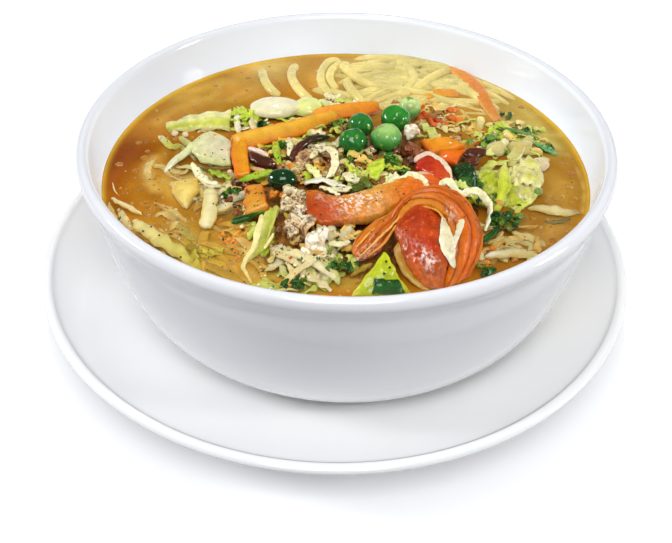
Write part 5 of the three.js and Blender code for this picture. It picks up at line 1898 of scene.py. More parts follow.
# crumbs: middle and reach of their oval, how many, height over the heap, size, palettes
# each palette runs from a crumb's underside to its top, darker below as painted shade, with broth stain on
# the egg
curdAreas = {
    "middle": ((312, 163), (34, 18), 18, (0.6, 2.0), (1.6, 4.2),
               [[(150, 92, 46), (206, 160, 96)], [(196, 160, 90), (226, 202, 136)]]),
    "besideEgg": ((298, 222), (22, 26), 8, (0.4, 1.6), (1.6, 3.6),
                  [[(206, 176, 130), (236, 224, 196)], [(214, 200, 170), (240, 234, 216)]]),
    "front": ((300, 262), (38, 20), 10, (0.2, 1.2), (1.4, 3.2),
              [[(226, 214, 170), (240, 234, 208)], [(210, 190, 130), (232, 220, 176)]]),
    "underPeas": ((360, 164), (42, 18), 16, (0.6, 2.2), (1.4, 3.6), [[(196, 160, 96), (222, 200, 140)]]),
    "rightTop": ((436, 130), (22, 18), 12, (0.4, 1.6), (1.6, 3.6), [[(198, 144, 74), (232, 194, 120)]]),
    "left": ((226, 205), (24, 20), 12, (0.2, 1.0), (1.6, 3.8),
             [[(214, 186, 110), (236, 216, 150)], [(226, 214, 170), (240, 234, 208)]]),
}
brownAreas = {
    "underPeas": ((372, 160), (40, 16), 26, (0.5, 2.2), (1.6, 4.4),
                  [[(72, 40, 16), (120, 70, 34)], [(120, 66, 30), (160, 98, 54)]]),
    "middle": ((292, 158), (34, 22), 26, (0.3, 1.6), (1.6, 4.2),
               [[(72, 34, 14), (112, 58, 26)], [(110, 60, 26), (150, 88, 44)],
                [(60, 30, 12), (84, 40, 16)]]),
    "rightTop": ((452, 150), (28, 18), 14, (0.3, 1.4), (1.6, 3.6),
                 [[(84, 36, 16), (130, 62, 28)], [(150, 60, 24), (186, 84, 34)]]),
    "left": ((244, 196), (18, 20), 12, (0.3, 1.4), (1.4, 3.2),
             [[(110, 50, 20), (160, 84, 36)], [(70, 34, 14), (100, 50, 22)]]),
    "front": ((285, 248), (26, 20), 12, (0.2, 1.2), (1.4, 3.0), [[(120, 70, 34), (160, 104, 56)]]),
    "behindPeas": ((334, 124), (18, 10), 12, (0.4, 1.6), (1.8, 3.8),
                   [[(96, 60, 22), (140, 100, 44)], [(120, 90, 36), (170, 136, 70)]]),
}
# chopped leaves: place, spread in millimetres, how many, size
herbAreas = {
    "besideCarrot": ((262, 124, 4.0), (3.2, 1.8, 0.6), 8, 3.2),
    "sidePeas": ((286, 146, 6.6), (2.2, 2.6, 0.7), 8, 2.2),
    "underPeas": ((392, 162, 7.6), (3.0, 2.8, 0.9), 22, 3.2),
    "besidePeas": ((368, 158, 6.6), (3.0, 1.6, 0.6), 8, 2.2),
    "besideTomato": ((406, 172, 7.6), (2.4, 1.6, 0.7), 9, 2.4),
    "leftMiddle": ((230, 192, 3.4), (3.4, 3.2, 0.6), 12, 2.2),
    "besideEgg": ((288, 209, 5.8), (1.6, 1.8, 0.6), 6, 2.2),
    "front": ((342, 266, 4.4), (4.2, 1.8, 0.6), 18, 2.4),
    "frontEdge": ((294, 283, 2.0), (3.2, 2.0, 0.6), 14, 2.4),
    "frontRight": ((486, 269, 1.4), (2.6, 2.2, 0.6), 9, 2.6),
    "rightTop": ((545, 148, 0.6), (4.2, 3.4, 0.4), 12, 2.8),
    "rightStem": ((520, 132, 0.8), (6.4, 4.0, 0.4), 12, 2.6),
    "right": ((490, 141, 2.6), (3.2, 2.6, 0.6), 9, 2.6),
    "farRight": ((508, 116, 0.6), (3.4, 3.0, 0.4), 6, 2.4),
    "rightMiddle": ((484, 200, 4.6), (3.0, 3.4, 0.8), 8, 2.0),
    "scattered": ((320, 205, 4.6), (32.0, 22.0, 1.4), 26, 1.5),
    "behindPeas": ((339, 122, 5.0), (3.4, 2.4, 0.6), 12, 2.8),
}
darkLeaf = dict(
    leaf, left=[(374, 278.5, 4.6), (373.5, 286, 3.4), (373, 295, 0.8)],
    right=[(398.5, 280, 4.8), (402, 285.5, 3.8), (406, 292, 1.0)], thick=0.8, bulge=0.5, seed=601,
    tones=[(18, 66, 10), (26, 84, 14), (20, 72, 12)], fleck=(96, 140, 40), fleckShare=0.14, fleckSize=1.2,
)
# strips of their own: path, widths, tones, and anything else their maker takes
looseStrip = {**shred, "thick": 1.1, "steps": 28, "sides": 10}
looseStrips = {
    "whiteBesideCarrot": ([(236, 112, 2.4), (237, 122, 2.6), (239, 133, 2.2)], [1.6, 2.6, 1.8],
                          [(238, 232, 210), (232, 220, 180)], {}),
    "beigeBesideCarrot": ([(250, 115, 2.0), (252, 124, 2.4), (256, 132, 1.8)], [1.6, 2.4, 1.6],
                          [(220, 196, 150), (228, 206, 160)], {}),
    "leftLoop": ([(159, 136, 0.7), (165, 141, 1.3), (172, 147, 1.1), (183, 145, 0.5)], [1.6, 2.6, 2.6, 1.4],
                 [(226, 220, 160), (200, 196, 90), (190, 180, 70)], {}),
    "leftSlant": ([(194, 170, 0.9), (203, 180, 1.5), (212, 185, 1.4), (224, 186, 0.7)],
                  [1.6, 3.0, 3.0, 1.6], [(232, 222, 168), (236, 226, 176)], {}),
    # a dark strip along the slab's lower edge, where it casts its shadow: painted shadow
    "underSlab": ([(197, 165, 2.0), (206, 168, 2.6), (219, 169, 2.8), (232, 167, 2.6)],
                  [0.8, 1.8, 2.0, 1.0], [(136, 96, 34), (110, 84, 26), (150, 108, 40)], {"thick": 0.9}),
    "limeLeft": ([(209, 170, 2.0), (219, 174, 2.8), (231, 178, 2.6)], [1.6, 3.6, 2.0],
                 [(150, 178, 34), (176, 194, 56)], {"ruffle": 0.5}),
    "creamLeft": ([(192, 163, 1.8), (199, 174, 2.2), (207, 181, 2.2), (218, 184, 1.8)],
                  [1.6, 3.2, 3.4, 1.8], [(246, 236, 180), (250, 242, 196)], {"steps": 36}),
    "limeAcross": ([(239, 181, 2.6), (251, 177, 3.2), (262, 174, 3.4), (274, 171, 2.8)],
                   [1.6, 3.0, 3.2, 1.8], [(120, 160, 30), (160, 190, 40), (176, 198, 60)], {}),
    "limeUpright": ([(275, 142, 2.6), (277, 152, 3.2), (279, 164, 2.4)], [1.8, 3.0, 2.0],
                    [(176, 196, 60), (150, 180, 34)], {}),
    "creamUpright": ([(288, 138, 3.0), (290, 146, 3.4), (289, 156, 2.6)], [1.6, 2.4, 1.6], cream, {}),
    "creamHook": ([(310, 158, 3.2), (319, 151, 3.8), (328, 148, 4.0), (334, 154, 4.0), (335, 163, 3.8),
                   (332, 172, 3.2), (326, 179, 2.4)], [1.6, 3.0, 3.2, 2.8, 2.8, 2.6, 1.4], cream,
                  {"steps": 44}),
    "whiteWedge": ([(304, 184, 2.6), (313, 181, 3.4), (324, 180, 3.4), (335, 184, 3.0), (347, 187, 2.2)],
                   [2.0, 4.2, 3.6, 3.6, 1.8], [(236, 230, 200), (240, 234, 212)], {"steps": 36}),
    "paleGreenMiddle": ([(308, 165, 2.6), (314, 171, 3.2), (320, 178, 2.6)], [2.2, 3.8, 2.4], creamGreen,
                        {}),
    "creamMiddle": ([(344, 173, 2.8), (351, 177, 3.4), (359, 182, 2.8)], [2.2, 4.2, 2.4], cream, {}),
    "amberMiddle": ([(348, 153, 2.6), (360, 157, 3.2), (374, 166, 2.8)], [1.8, 3.2, 2.0], amberClear, {}),
    "limeRuffle": ([(380, 159, 3.2), (377, 168, 4.2), (374, 179, 3.8)], [3.0, 5.2, 3.4], limeBright,
                   {"ruffle": 0.7, "waves": 3.0}),
    "topRuffle": ([(422, 124, 2.2), (429, 129, 3.2), (436, 137, 3.4), (445, 144, 2.4)],
                  [2.4, 4.2, 4.2, 2.0], [(226, 222, 140), (198, 206, 80), (230, 222, 160)],
                  {"ruffle": 0.6}),
    "paleOverMiddle": ([(330, 187, 3.2), (341, 190, 3.6), (352, 187, 3.0)], [2.0, 3.8, 2.0], cream, {}),
    "creamOverSlice": ([(320, 187, 3.0), (331, 190, 4.2), (340, 196, 4.8)], [1.2, 2.2, 1.0], cream, {}),
    "frontStrand": ([(278, 249, 3.0), (294, 253, 3.8), (311, 260, 3.6), (328, 272, 2.8), (340, 281, 1.6)],
                    [2.2, 3.4, 3.2, 3.0, 1.6], [(244, 224, 156), (252, 240, 190)], {"steps": 40}),
    "frontCrossed": ([(326, 253, 3.2), (311, 261, 4.2), (300, 269, 3.6), (289, 277, 2.4), (284, 287, 1.2)],
                     [1.8, 2.8, 3.0, 2.6, 1.4], [(252, 240, 188), (242, 216, 136)], {"steps": 40}),
    "frontHook": ([(273, 252, 2.4), (283, 256, 3.2), (296, 262, 3.4), (303, 271, 2.8), (301, 282, 1.6)],
                  [1.4, 2.4, 2.6, 2.2, 1.2], [(240, 214, 140), (250, 234, 178)], {"steps": 40}),
    "frontSlant": ([(320, 258, 2.8), (329, 265, 3.2), (335, 274, 2.4), (338, 284, 1.2)],
                   [1.4, 2.6, 2.6, 1.4], [(224, 216, 140), (214, 206, 120)], {"steps": 36}),
    "frontBroad": ([(307, 272, 1.8), (314, 278, 2.8), (322, 283, 2.2), (332, 291, 0.8)],
                   [1.6, 4.2, 3.6, 1.4], [(240, 214, 136), (252, 238, 186)], {"steps": 36, "ruffle": 0.5}),
    "frontThin": ([(286, 262, 2.4), (292, 271, 3.0), (291, 281, 2.2), (287, 289, 1.2)],
                  [1.0, 2.0, 2.0, 1.0], [(246, 230, 168), (236, 210, 132)], {"steps": 36}),
    "frontThread": ([(350, 276, 1.2), (357, 272, 1.8), (364, 268, 2.0), (372, 264, 1.6)],
                    [0.8, 1.8, 1.8, 0.8], [(176, 142, 44), (196, 160, 60)], {}),
    "frontGold": ([(300, 244, 2.8), (312, 250, 3.4), (324, 256, 3.0)], [1.4, 2.8, 1.4], amberClear, {}),
    "shortCream": ([(329, 243, 2.4), (340, 244, 2.8), (351, 242, 2.4)], [1.4, 2.4, 1.4], cream, {}),
    "leftClear": ([(175, 223, 0.2), (184, 231, 0.6), (194, 241, 0.3)], [1.8, 3.4, 2.0],
                  [(206, 184, 100), (198, 180, 84)], {}),
    "oliveFront": ([(186, 246, 0.2), (204, 250, 1.0), (224, 254, 0.5)], [3.0, 6.0, 3.4],
                   [(190, 156, 44), (200, 172, 60)], {"ruffle": 0.5}),
    "goldFront": ([(198, 261, 0.2), (214, 268, 0.9), (231, 277, 0.9), (246, 286, 0.3)],
                  [2.2, 4.4, 4.4, 2.4], [(206, 164, 66), (204, 160, 60)], {"steps": 34}),
    "carrotStreak": ([(219, 236, 0.2), (231, 246, 0.6), (240, 259, 0.2)], [1.0, 2.4, 1.2],
                     [(222, 140, 44), (226, 130, 36)], {}),
    "clearLeft": ([(158, 204, 0.0), (171, 211, 0.4), (187, 222, 0.1)], [1.2, 2.6, 1.4], goldClear, {}),
    "sunkNoodle": ([(155, 160, -0.5), (148, 170, 0.1), (150, 183, -0.4)], [2.4, 3.0, 2.4], goldClear,
                   {"thick": 2.4}),
    "yellowRight": ([(519, 209, 1.0), (527, 202, 1.5), (536, 194, 1.1)], [1.6, 3.0, 1.6], limePale, {}),
    "greenRight": ([(497, 132, 2.2), (490, 139, 2.8), (482, 147, 2.0)], [1.8, 3.4, 2.0],
                   [(96, 140, 40), (130, 160, 50)], {}),
    "stemRight": ([(496, 128, 1.0), (510, 130, 1.5), (526, 134, 1.3), (541, 140, 0.4)],
                  [1.0, 1.9, 1.9, 1.0], [(84, 124, 40), (110, 140, 50)], {"thick": 1.3}),
    "tealRight": ([(535, 143, 0.7), (546, 148, 1.2), (557, 155, 0.4)], [1.6, 3.8, 1.8],
                  [(110, 170, 90), (96, 160, 90)], {}),
    "paleRightOne": ([(487, 155, 1.6), (496, 149, 2.2), (507, 140, 1.4)], [2.6, 4.8, 2.6], creamGreen, {}),
    "paleRightTwo": ([(509, 159, 1.2), (520, 150, 1.8), (532, 137, 1.0)], [2.8, 5.4, 3.0],
                     [(212, 202, 120), (206, 192, 104)], {}),
    "paleRightThree": ([(532, 171, 0.8), (540, 164, 1.2), (548, 158, 0.6)], [2.0, 4.0, 2.2],
                       [(226, 208, 150), (222, 200, 130)], {}),
    "paleBehindPeas": ([(319, 100, 1.0), (331, 106, 1.8), (343, 107, 1.8), (355, 114, 1.0)],
                       [2.4, 4.4, 4.4, 2.4], [(222, 222, 140), (236, 230, 180)], {"ruffle": 0.5}),
    "brownThread": ([(486, 251, 1.0), (505, 252.5, 1.4), (523, 251.5, 1.2), (540, 250, 0.6)],
                    [0.6, 1.1, 1.1, 0.6], [(150, 84, 30), (206, 150, 60), (160, 96, 36)], {"thick": 0.7}),
    # a dark olive strip in the shadow under the onion spindle: painted shadow
    "oliveRight": ([(544, 222, 0.1), (557, 222, 0.4), (571, 219, 0.1)], [1.0, 2.2, 1.0],
                   [(120, 110, 50), (96, 90, 40)], {}),
    "wallSliver": ([(109, 203, 0.2), (112, 211, 0.5), (117, 219, 0.1)], [0.8, 1.8, 0.8],
                   [(248, 216, 130), (242, 206, 118)], {}),
    "wallStrip": ([(119, 209, 0.2), (124, 219, 0.7), (132, 230, 0.2)], [1.2, 2.8, 1.4],
                  [(252, 232, 166), (248, 220, 146)], {}),
    # a thin pale thread along a glint line by the wall: painted highlight
    "paleThread": ([(112.5, 182.5, 0.1), (113.5, 187, 0.5), (115, 191, 0.5), (117.5, 194.5, 0.1)],
                   [0.2, 0.5, 0.5, 0.2], [(240, 212, 150), (246, 226, 176)],
                   {"thick": 0.4, "rough": 0.04, "ruffle": 0.0}),
    "wallThread": ([(134, 233, 0.0), (146, 243, 0.3), (160, 251, 0.3), (176, 261, 0.0)],
                   [0.6, 1.0, 1.0, 0.6], [(150, 92, 34), (120, 70, 26)], {"thick": 0.7}),
}
clearAreas = ("leftSoft", "leftMiddle", "frontLeft", "frontMiddle", "frontEdge", "rightFront", "leftEdge")
clearStrips = ("front", "leftClear", "oliveFront", "goldFront", "clearLeft", "sunk", "wall")
clearLeaf = {**cabbage, "coat": 0.3, "coatRough": 0.04, "clear": 0.66, "inner": 0, "rough": (0.08, 0.25)}
scrap = {**shred, "thick": 1.0, "ruffle": 0.5, "sides": 8}
brownCrumb = {"rough": 0.35, "folds": 0.15, "detail": 3, "deep": (60, 28, 12)}
carrotBit = {**shred, "thick": 1.5, "ruffle": 0.0, "square": 0.4, "blunt": 0.85}
scattered = {
    # piece: how it is made, its areas, look, first seed, surface, slot
    "cabbageScraps": (addShreds, limeAreas, scrap, 340, "cabbageLeaf", "cabbage"),
    "eggCrumbs": (addCrumbs, curdAreas, {**curd, "detail": 3}, 360, "eggCurd", "egg"),
    "brownCrumbs": (addCrumbs, brownAreas, brownCrumb, 380, "mushroomFlesh", "mushroom"),
    "carrotBits": (addShreds, carrotAreas, carrotBit, 400, "carrotFlesh", "carrot"),
}


def makeLoose():
    firm, clear = newBatch(), newBatch()
    for number, (name, area) in enumerate(shredAreas.items()):
        addShreds(clear if name in clearAreas else firm, area, shred, 300 + number)
    makePiece("cabbageShreds", firm, surfaces["cabbageLeaf"])
    makePiece("clearShreds", clear, surfaces["clearLeaf"])
    firm, clear = newBatch(), newBatch()
    for number, (name, (path, widths, tones, own)) in enumerate(looseStrips.items()):
        look = {**looseStrip, "tones": tones, **own, "lean": 0.3 * math.sin(number), "seed": 900 + number}
        batch = clear if name.startswith(clearStrips) else firm
        addPart(batch, dict(look, path=path, widths=widths), onHeap)
    makePiece("placedStrips", firm, surfaces["cabbageLeaf"])
    makePiece("clearStrips", clear, surfaces["clearLeaf"])
    for name, (scatter, areas, look, seed, surface, slot) in scattered.items():
        batch = newBatch()
        for number, area in enumerate(areas.values()):
            scatter(batch, area, look, seed + number)
        makePiece(name, batch, surfaces[surface])
    batch = newBatch()
    for number, (centre, reach, count, size) in enumerate(herbAreas.values()):
        addLeaflets(batch, centre, reach, count, size, greens, 420 + 40 * number)
    addPart(batch, darkLeaf)
    makePiece("choppedHerbs", batch, surfaces["herbLeaf"])


oil = {
    "broad": 6.0, "fine": 1.0, "shade": (0.95, 1.08), "rough": (0.04, 0.1), "bump": 0.05, "depth": 0.05,
    "coat": 0.5, "coatRough": 0.03, "clear": 0.5,
}
bubble = {
    "broad": 4.0, "fine": 1.0, "shade": (0.95, 1.08), "rough": (0.04, 0.08), "bump": 0.05, "depth": 0.05,
    "coat": 1.0, "coatRough": 0.02, "clear": 0.42,
}
looks = {
    "carrotFlesh": carrot, "peaSkin": pea, "tomatoFlesh": tomato, "tomatoSkin": tomatoSkin,
    "cabbageLeaf": cabbage, "onionFlesh": onion, "onionClear": onionClear, "eggCurd": egg,
    "mushroomFlesh": mushroom, "herbLeaf": herb, "clearLeaf": clearLeaf, "oilDrop": oil,
    "bubbleSkin": bubble,
}
surfaces = {name: unevenMaterial(name, look) for name, look in looks.items()}
toppings = [
    # parts, surface, slot
    (carrots, "carrotFlesh", "carrot"),
    (peaParts(), "peaSkin", "pea"),
    (wedgePulp, "tomatoFlesh", "tomato"),
    (wedgeSkins, "tomatoSkin", "tomato"),
    (tomatoes, "tomatoFlesh", "tomato"),
    (ribbons, "cabbageLeaf", "onion"),
    (cabbages, "cabbageLeaf", "cabbage"),
    (onions, "onionFlesh", "onion"),
    (curdParts(), "eggCurd", "egg"),
    (mushrooms, "mushroomFlesh", "mushroom"),
    (herbs, "herbLeaf", "herb"),
]
makeHeap()
makeNoodles()
print("heap and noodles made")
for parts, surface, slot in toppings:
    makeToppings(parts, surfaces[surface], surfaces["onionClear"], clearOnions)
print("toppings made")
makeLoose()
print("loose pieces made")

# Small bits thrown over the food: a net is draped over everything, and copies of one small shape lie on it

net = {"half": 86.0, "cell": 0.8, "steepest": 1.4, "fromWall": 2.2}


def drapedNet(pieces):
    # the height of the topmost points in square cells over the bowl, how much each slopes, and whose it is
    count = int(2 * net["half"] / net["cell"])
    axis = (np.arange(count) + 0.5) * net["cell"] - net["half"]
    across, along = np.meshgrid(axis + dish["bowlShift"], axis, indexing="ij")
    places = np.stack([across, along], axis=-1).reshape(-1, 2)
    top = dish["brothLevel"] + np.maximum(heapTop(places) - heapCore["sink"], 0.0).reshape(count, count)
    owner = np.full((count, count), -1)
    for number, piece in enumerate(pieces):
        points = meshPoints(piece.data) / mm
        cells = ((points[:, :2] - [dish["bowlShift"], 0.0] + net["half"]) / net["cell"]).astype(int)
        cells = np.clip(cells, 0, count - 1)
        own = np.full((count, count), -np.inf)
        np.maximum.at(own, (cells[:, 0], cells[:, 1]), points[:, 2])
        owner[own > top] = number
        top = np.maximum(top, own)
    slope = np.zeros_like(top)
    for step, side in ((1, 0), (-1, 0), (1, 1), (-1, 1)):
        slope = np.maximum(slope, np.abs(top - np.roll(top, step, side)))
    return np.column_stack([places, top.ravel()]), slope.ravel(), owner.ravel(), count


def bitAmounts(points, slope, mixed, look):
    # how thickly the bits lie, from soft ovals of the picture; the smooth toppings stay clean
    radius = np.linalg.norm(points[:, :2] - [dish["bowlShift"], 0.0], axis=1)
    amounts = np.full(len(points), look["amount"])
    for place, reach, more in look["places"]:
        centre = spots([(*place, look.get("level", 3.0))])[0]
        apart = np.linalg.norm((points - centre)[:, :2] / reach, axis=1)
        amounts += more * np.exp(-apart ** 2)
    above = points[:, 2] - dish["brothLevel"]
    low, high = look["between"]
    there = (above > low) & (above < high) & (slope < net["steepest"])
    there &= radius < wallRadius(dish["brothLevel"]) - net["fromWall"]
    there &= mixed
    return np.where(there, amounts, 0.0)


def bitTree():
    # copies of a small shape thrown over a net, each turned and sized by chance
    kinds = {
        "Shape": "Object", "Per Area": "Float", "Seed": "Int", "Smallest": "Float", "Largest": "Float",
        "Surface": "Material",
    }
    tree, sockets = geometryTree("thrownBits", "Net", kinds, "Bits")
    nodes = placeNodes(tree, {
        "given": ("NodeGroupInput",),
        "result": ("NodeGroupOutput",),
        "amount": ("GeometryNodeInputNamedAttribute", {}, {"Name": "amount"}),
        "thickly": ("ShaderNodeMath", {"operation": "MULTIPLY"}),
        "throw": ("GeometryNodeDistributePointsOnFaces",),
        "shape": ("GeometryNodeObjectInfo",),
        "spin": ("FunctionNodeRandomValue", {}, {"Max": 2 * math.pi}),
        "turn": ("ShaderNodeCombineXYZ",),
        "asTurn": ("FunctionNodeEulerToRotation",),
        "rotate": ("FunctionNodeRotateRotation", {"rotation_space": "LOCAL"}),
        "size": ("FunctionNodeRandomValue", {}, {"Seed": 9}),
        "lay": ("GeometryNodeInstanceOnPoints",),
        "chance": ("FunctionNodeRandomValue", {}, {"Seed": 5}),
        "keep": ("GeometryNodeStoreNamedAttribute", {"data_type": "FLOAT", "domain": "INSTANCE"},
                 {"Name": "chance"}),
        "real": ("GeometryNodeRealizeInstances",),
        "cover": ("GeometryNodeSetMaterial",),
    })
    joinNodes(tree, nodes, [
        ("given", "Per Area", "thickly", 0),
        ("amount", "Attribute", "thickly", 1),
        ("given", "Net", "throw", "Mesh"),
        ("thickly", "Value", "throw", "Density"),
        ("given", "Seed", "throw", "Seed"),
        ("given", "Shape", "shape", "Object"),
        ("spin", "Value", "turn", "Z"),
        ("turn", "Vector", "asTurn", "Euler"),
        ("throw", "Rotation", "rotate", "Rotation"),
        ("asTurn", "Rotation", "rotate", "Rotate By"),
        ("given", "Smallest", "size", "Min"),
        ("given", "Largest", "size", "Max"),
        ("throw", "Points", "lay", "Points"),
        ("shape", "Geometry", "lay", "Instance"),
        ("rotate", "Rotation", "lay", "Rotation"),
        ("size", "Value", "lay", "Scale"),
        ("lay", "Instances", "keep", "Geometry"),
        ("chance", "Value", "keep", "Value"),
        ("keep", "Geometry", "real", "Geometry"),
        ("real", "Geometry", "cover", "Geometry"),
        ("given", "Surface", "cover", "Material"),
        ("cover", "Geometry", "result", "Bits"),
    ])
    return tree, sockets


def shapeObject(name, shape):
    # one small shape, a millimetre across, for the node tree to copy
    mesh = bpy.data.meshes.new(name)
    faces = [corners for group in shape["faces"] for corners in group.tolist()]
    mesh.from_pydata((shape["points"] * mm).tolist(), [], faces)
    mesh.polygons.foreach_set("use_smooth", np.ones(len(mesh.polygons), bool))
    holder = bpy.data.objects.new(name, mesh)
    bpy.context.scene.collection.objects.link(holder)
    return holder


def lens(high, low):
    return turned([[0, high], [0.32, high * 0.8], [0.5, 0], [0.32, low * 0.7], [0, low]], around=10)


def flake():
    # a thin leaf of eight faces
    points = np.array([[-0.5, 0, 0.04], [0, -0.27, 0], [0.5, 0, 0.1], [0.05, 0.3, -0.02], [0, 0, 0.12],
                       [0, 0, -0.06]])
    faces = np.array([[4, 0, 1], [4, 1, 2], [4, 2, 3], [4, 3, 0], [5, 1, 0], [5, 2, 1], [5, 3, 2],
                      [5, 0, 3]])
    return {"points": points, "faces": [faces]}


def crumb(seed):
    return lump(np.zeros(3), (1.0, 0.8, 0.6), rough=0.3, seed=seed, detail=1)


mixedPieces = ("heapCore", "cabbageS", "clearS", "placed", "eggCrumbs", "brownCrumbs", "clearBroth",
               "farNoodles")
spicedPieces = (*mixedPieces, "egg", "carrotSpiced", "tomato", "cabbageWedge", "onion")
bits = {
    # perArea: how many on a square metre where the amount is 1; size: across, in millimetres
    # between: the heights over the broth where they lie; places: picture place, reach, how much more
    "herbFlecks": {
        "shape": flake(), "slot": "herb", "surface": "herbLeaf", "perArea": 1.0e5, "size": (0.7, 1.9),
        "seed": 3, "between": (0.3, 14.0), "amount": 0.25,
        "tones": [(18, 60, 10), (30, 88, 14), (70, 120, 24), (110, 150, 36)],
        "places": [((300, 190), 26, 0.7), ((390, 165), 12, 1.2), ((500, 210), 18, 0.9),
                   ((500, 130), 22, 0.7), ((320, 270), 26, 0.8), ((230, 195), 14, 0.9),
                   ((430, 230), 22, -0.6), ((212, 148), 9, -0.24)],
    },
    "paleCrumbs": {
        "shape": crumb(4), "slot": "egg", "surface": "eggCurd", "perArea": 1.6e5, "size": (0.5, 1.3),
        "seed": 5, "between": (0.2, 11.0), "amount": 0.2,
        "tones": [(206, 170, 110), (228, 206, 160), (236, 226, 196), (226, 196, 136)],
        "places": [((300, 235), 20, 1.0), ((320, 165), 20, 0.9), ((430, 130), 16, 0.8),
                   ((300, 275), 18, 0.7), ((430, 230), 26, -0.6), ((370, 130), 12, -0.5),
                   ((375, 200), 12, -0.3)],
    },
    "spiceSpecks": {
        "shape": crumb(7), "slot": "mushroom", "surface": "mushroomFlesh", "perArea": 0.9e5,
        "size": (0.25, 0.75), "seed": 8, "between": (-0.2, 14.0), "amount": 0.1, "on": spicedPieces,
        "tones": [(24, 14, 8), (48, 26, 12), (84, 44, 18), (120, 60, 24)],
        "places": [((255, 198), 9, 2.4), ((260, 215), 12, 1.4), ((160, 240), 22, 0.7),
                   ((300, 170), 22, 0.9), ((380, 210), 26, 0.3), ((384, 270), 10, 0.5),
                   ((470, 150), 16, 0.8), ((250, 266), 14, 1.2), ((150, 205), 16, 0.5),
                   ((280, 246), 10, 1.5)],
    },
    "orangeSpecks": {
        "shape": crumb(9), "slot": "carrot", "surface": "carrotFlesh", "perArea": 0.8e5, "size": (0.4, 1.2),
        "seed": 11, "between": (0.1, 12.0), "amount": 0.15,
        "tones": [(196, 70, 16), (220, 110, 24), (230, 146, 40)],
        "places": [((250, 215), 18, 0.8), ((440, 122), 18, 1.0), ((500, 255), 18, 0.8),
                   ((300, 175), 24, 0.5)],
    },
    "oilDrops": {
        "shape": lens(0.16, -0.12), "slot": "broth", "surface": "oilDrop", "perArea": 0.5e5,
        "size": (0.8, 3.4), "seed": 13, "between": (-0.3, 0.25), "amount": 0.12, "level": 0.0,
        "tones": [(198, 134, 34), (214, 156, 54), (190, 116, 24)],
        "places": [((170, 225), 26, 0.6), ((180, 150), 22, 0.5), ((540, 235), 20, 0.7),
                   ((250, 290), 26, 0.6), ((560, 190), 18, 0.4)],
    },
    "bubbles": {
        "shape": lens(0.42, -0.16), "slot": "broth", "surface": "bubbleSkin", "perArea": 0.9e5,
        "size": (0.5, 1.5), "seed": 17, "between": (-0.3, 1.0), "amount": 0.04, "level": 0.5,
        "tones": [(214, 176, 96), (228, 204, 140), (206, 160, 70)],
        "places": [((182, 132), 9, 1.2), ((176, 216), 9, 1.0), ((215, 200), 14, 0.7), ((290, 285), 22, 0.6),
                   ((392, 252), 8, 1.5), ((120, 200), 8, 0.8), ((505, 205), 12, 0.6),
                   ((240, 280), 18, 0.5)],
    },
}


def throwBits():
    pieces = [piece for piece in bpy.context.scene.objects if piece.type == "MESH"]
    pieces = [piece for piece in pieces if "tint" in piece.data.attributes and piece.name[:6] != "glazed"]
    points, slope, owner, count = drapedNet(pieces)
    cell = np.arange(count * count).reshape(count, count)
    faces = np.stack([cell[:-1, :-1], cell[1:, :-1], cell[1:, 1:], cell[:-1, 1:]], axis=-1).reshape(-1, 4)
    tree, sockets = bitTree()
    for name, look in bits.items():
        landing = np.array([piece.name.startswith(look.get("on", mixedPieces))
                            for piece in pieces] + [True])
        amounts = bitAmounts(points, slope, landing[owner], look)
        used = faces[(amounts[faces] > 0).all(axis=1)]
        draped = bpy.data.meshes.new("net")
        draped.from_pydata((points * mm).tolist(), [], used.tolist())
        layer = draped.attributes.new("amount", "FLOAT", "POINT")
        layer.data.foreach_set("value", amounts)
        bit = shapeObject("bit", look["shape"])
        surface = surfaces[look["surface"]]
        mesh = grownMesh(name, draped, tree, sockets, {
            "Shape": bit,
            "Per Area": look["perArea"],
            "Seed": look["seed"],
            "Smallest": look["size"][0],
            "Largest": look["size"][1],
            "Surface": surface,
        })
        bitMesh = bit.data
        bpy.data.objects.remove(bit)
        bpy.data.meshes.remove(bitMesh)
        chance = np.empty(len(mesh.vertices))
        mesh.attributes["chance"].data.foreach_get("value", chance)
        mesh.attributes.remove(mesh.attributes["chance"])
        rows = np.array([tone(*colour) for colour in look["tones"]])
        stops = np.linspace(0, 1, len(rows))
        tints = np.stack([np.interp(chance, stops, rows[:, k]) for k in range(3)], axis=1)
        finishPiece(name, mesh, tints, surface)


# bead: place, how far across, colour
beads = {
    "left": ((174.8, 133.3, 0.9), 2.6, (226, 204, 160)),
    "leftTwin": ((185.3, 134.3, 1.2), 2.3, (232, 214, 176)),
    "leftFar": ((187.2, 125.7, 1.8), 2.0, (230, 216, 170)),
    # the pale beads beside the slab and beside the stem stand for small glints: painted highlights
    "glintBesideSlab": ((230, 171.6, 4.8), 1.8, (226, 196, 150)),
    "glintBesideStem": ((242, 226.5, 3.8), 1.5, (232, 206, 150)),
    "right": ((538, 191.6, 1.8), 3.0, (120, 150, 70)),
    "front": ((393.6, 250.4, 5.6), 2.8, (84, 40, 14)),
    "rightMiddle": ((499, 203, 4.4), 2.4, (206, 150, 70)),
    "leftMiddle": ((176, 209.8, 0.6), 1.3, (236, 206, 140)),
    "leftNear": ((176, 223.7, 0.9), 1.3, (236, 206, 140)),
    # the two small pale beads at the front stand for glints: painted highlights
    "frontMiddle": ((295, 265, 4.6), 1.1, (240, 220, 170)),
    "frontNear": ((303, 276.5, 3.4), 1.0, (240, 220, 170)),
    "besideHerbs": ((222, 197, 4.0), 1.1, (236, 216, 170)),
    "frontEdge": ((290, 284, 2.2), 1.6, (236, 160, 60)),
}


def makeBeads():
    batch = newBatch()
    for number, (place, across, colour) in enumerate(beads.values()):
        bead = dict(place=place, size=(across, across, across * 0.8), tones=[colour], seed=700 + number)
        addPart(batch, dict(bead, rough=0.04, detail=3))
    makePiece("clearBeads", batch, surfaces["onionFlesh"])


throwBits()
makeBeads()
print("bits thrown")

# Floor and light

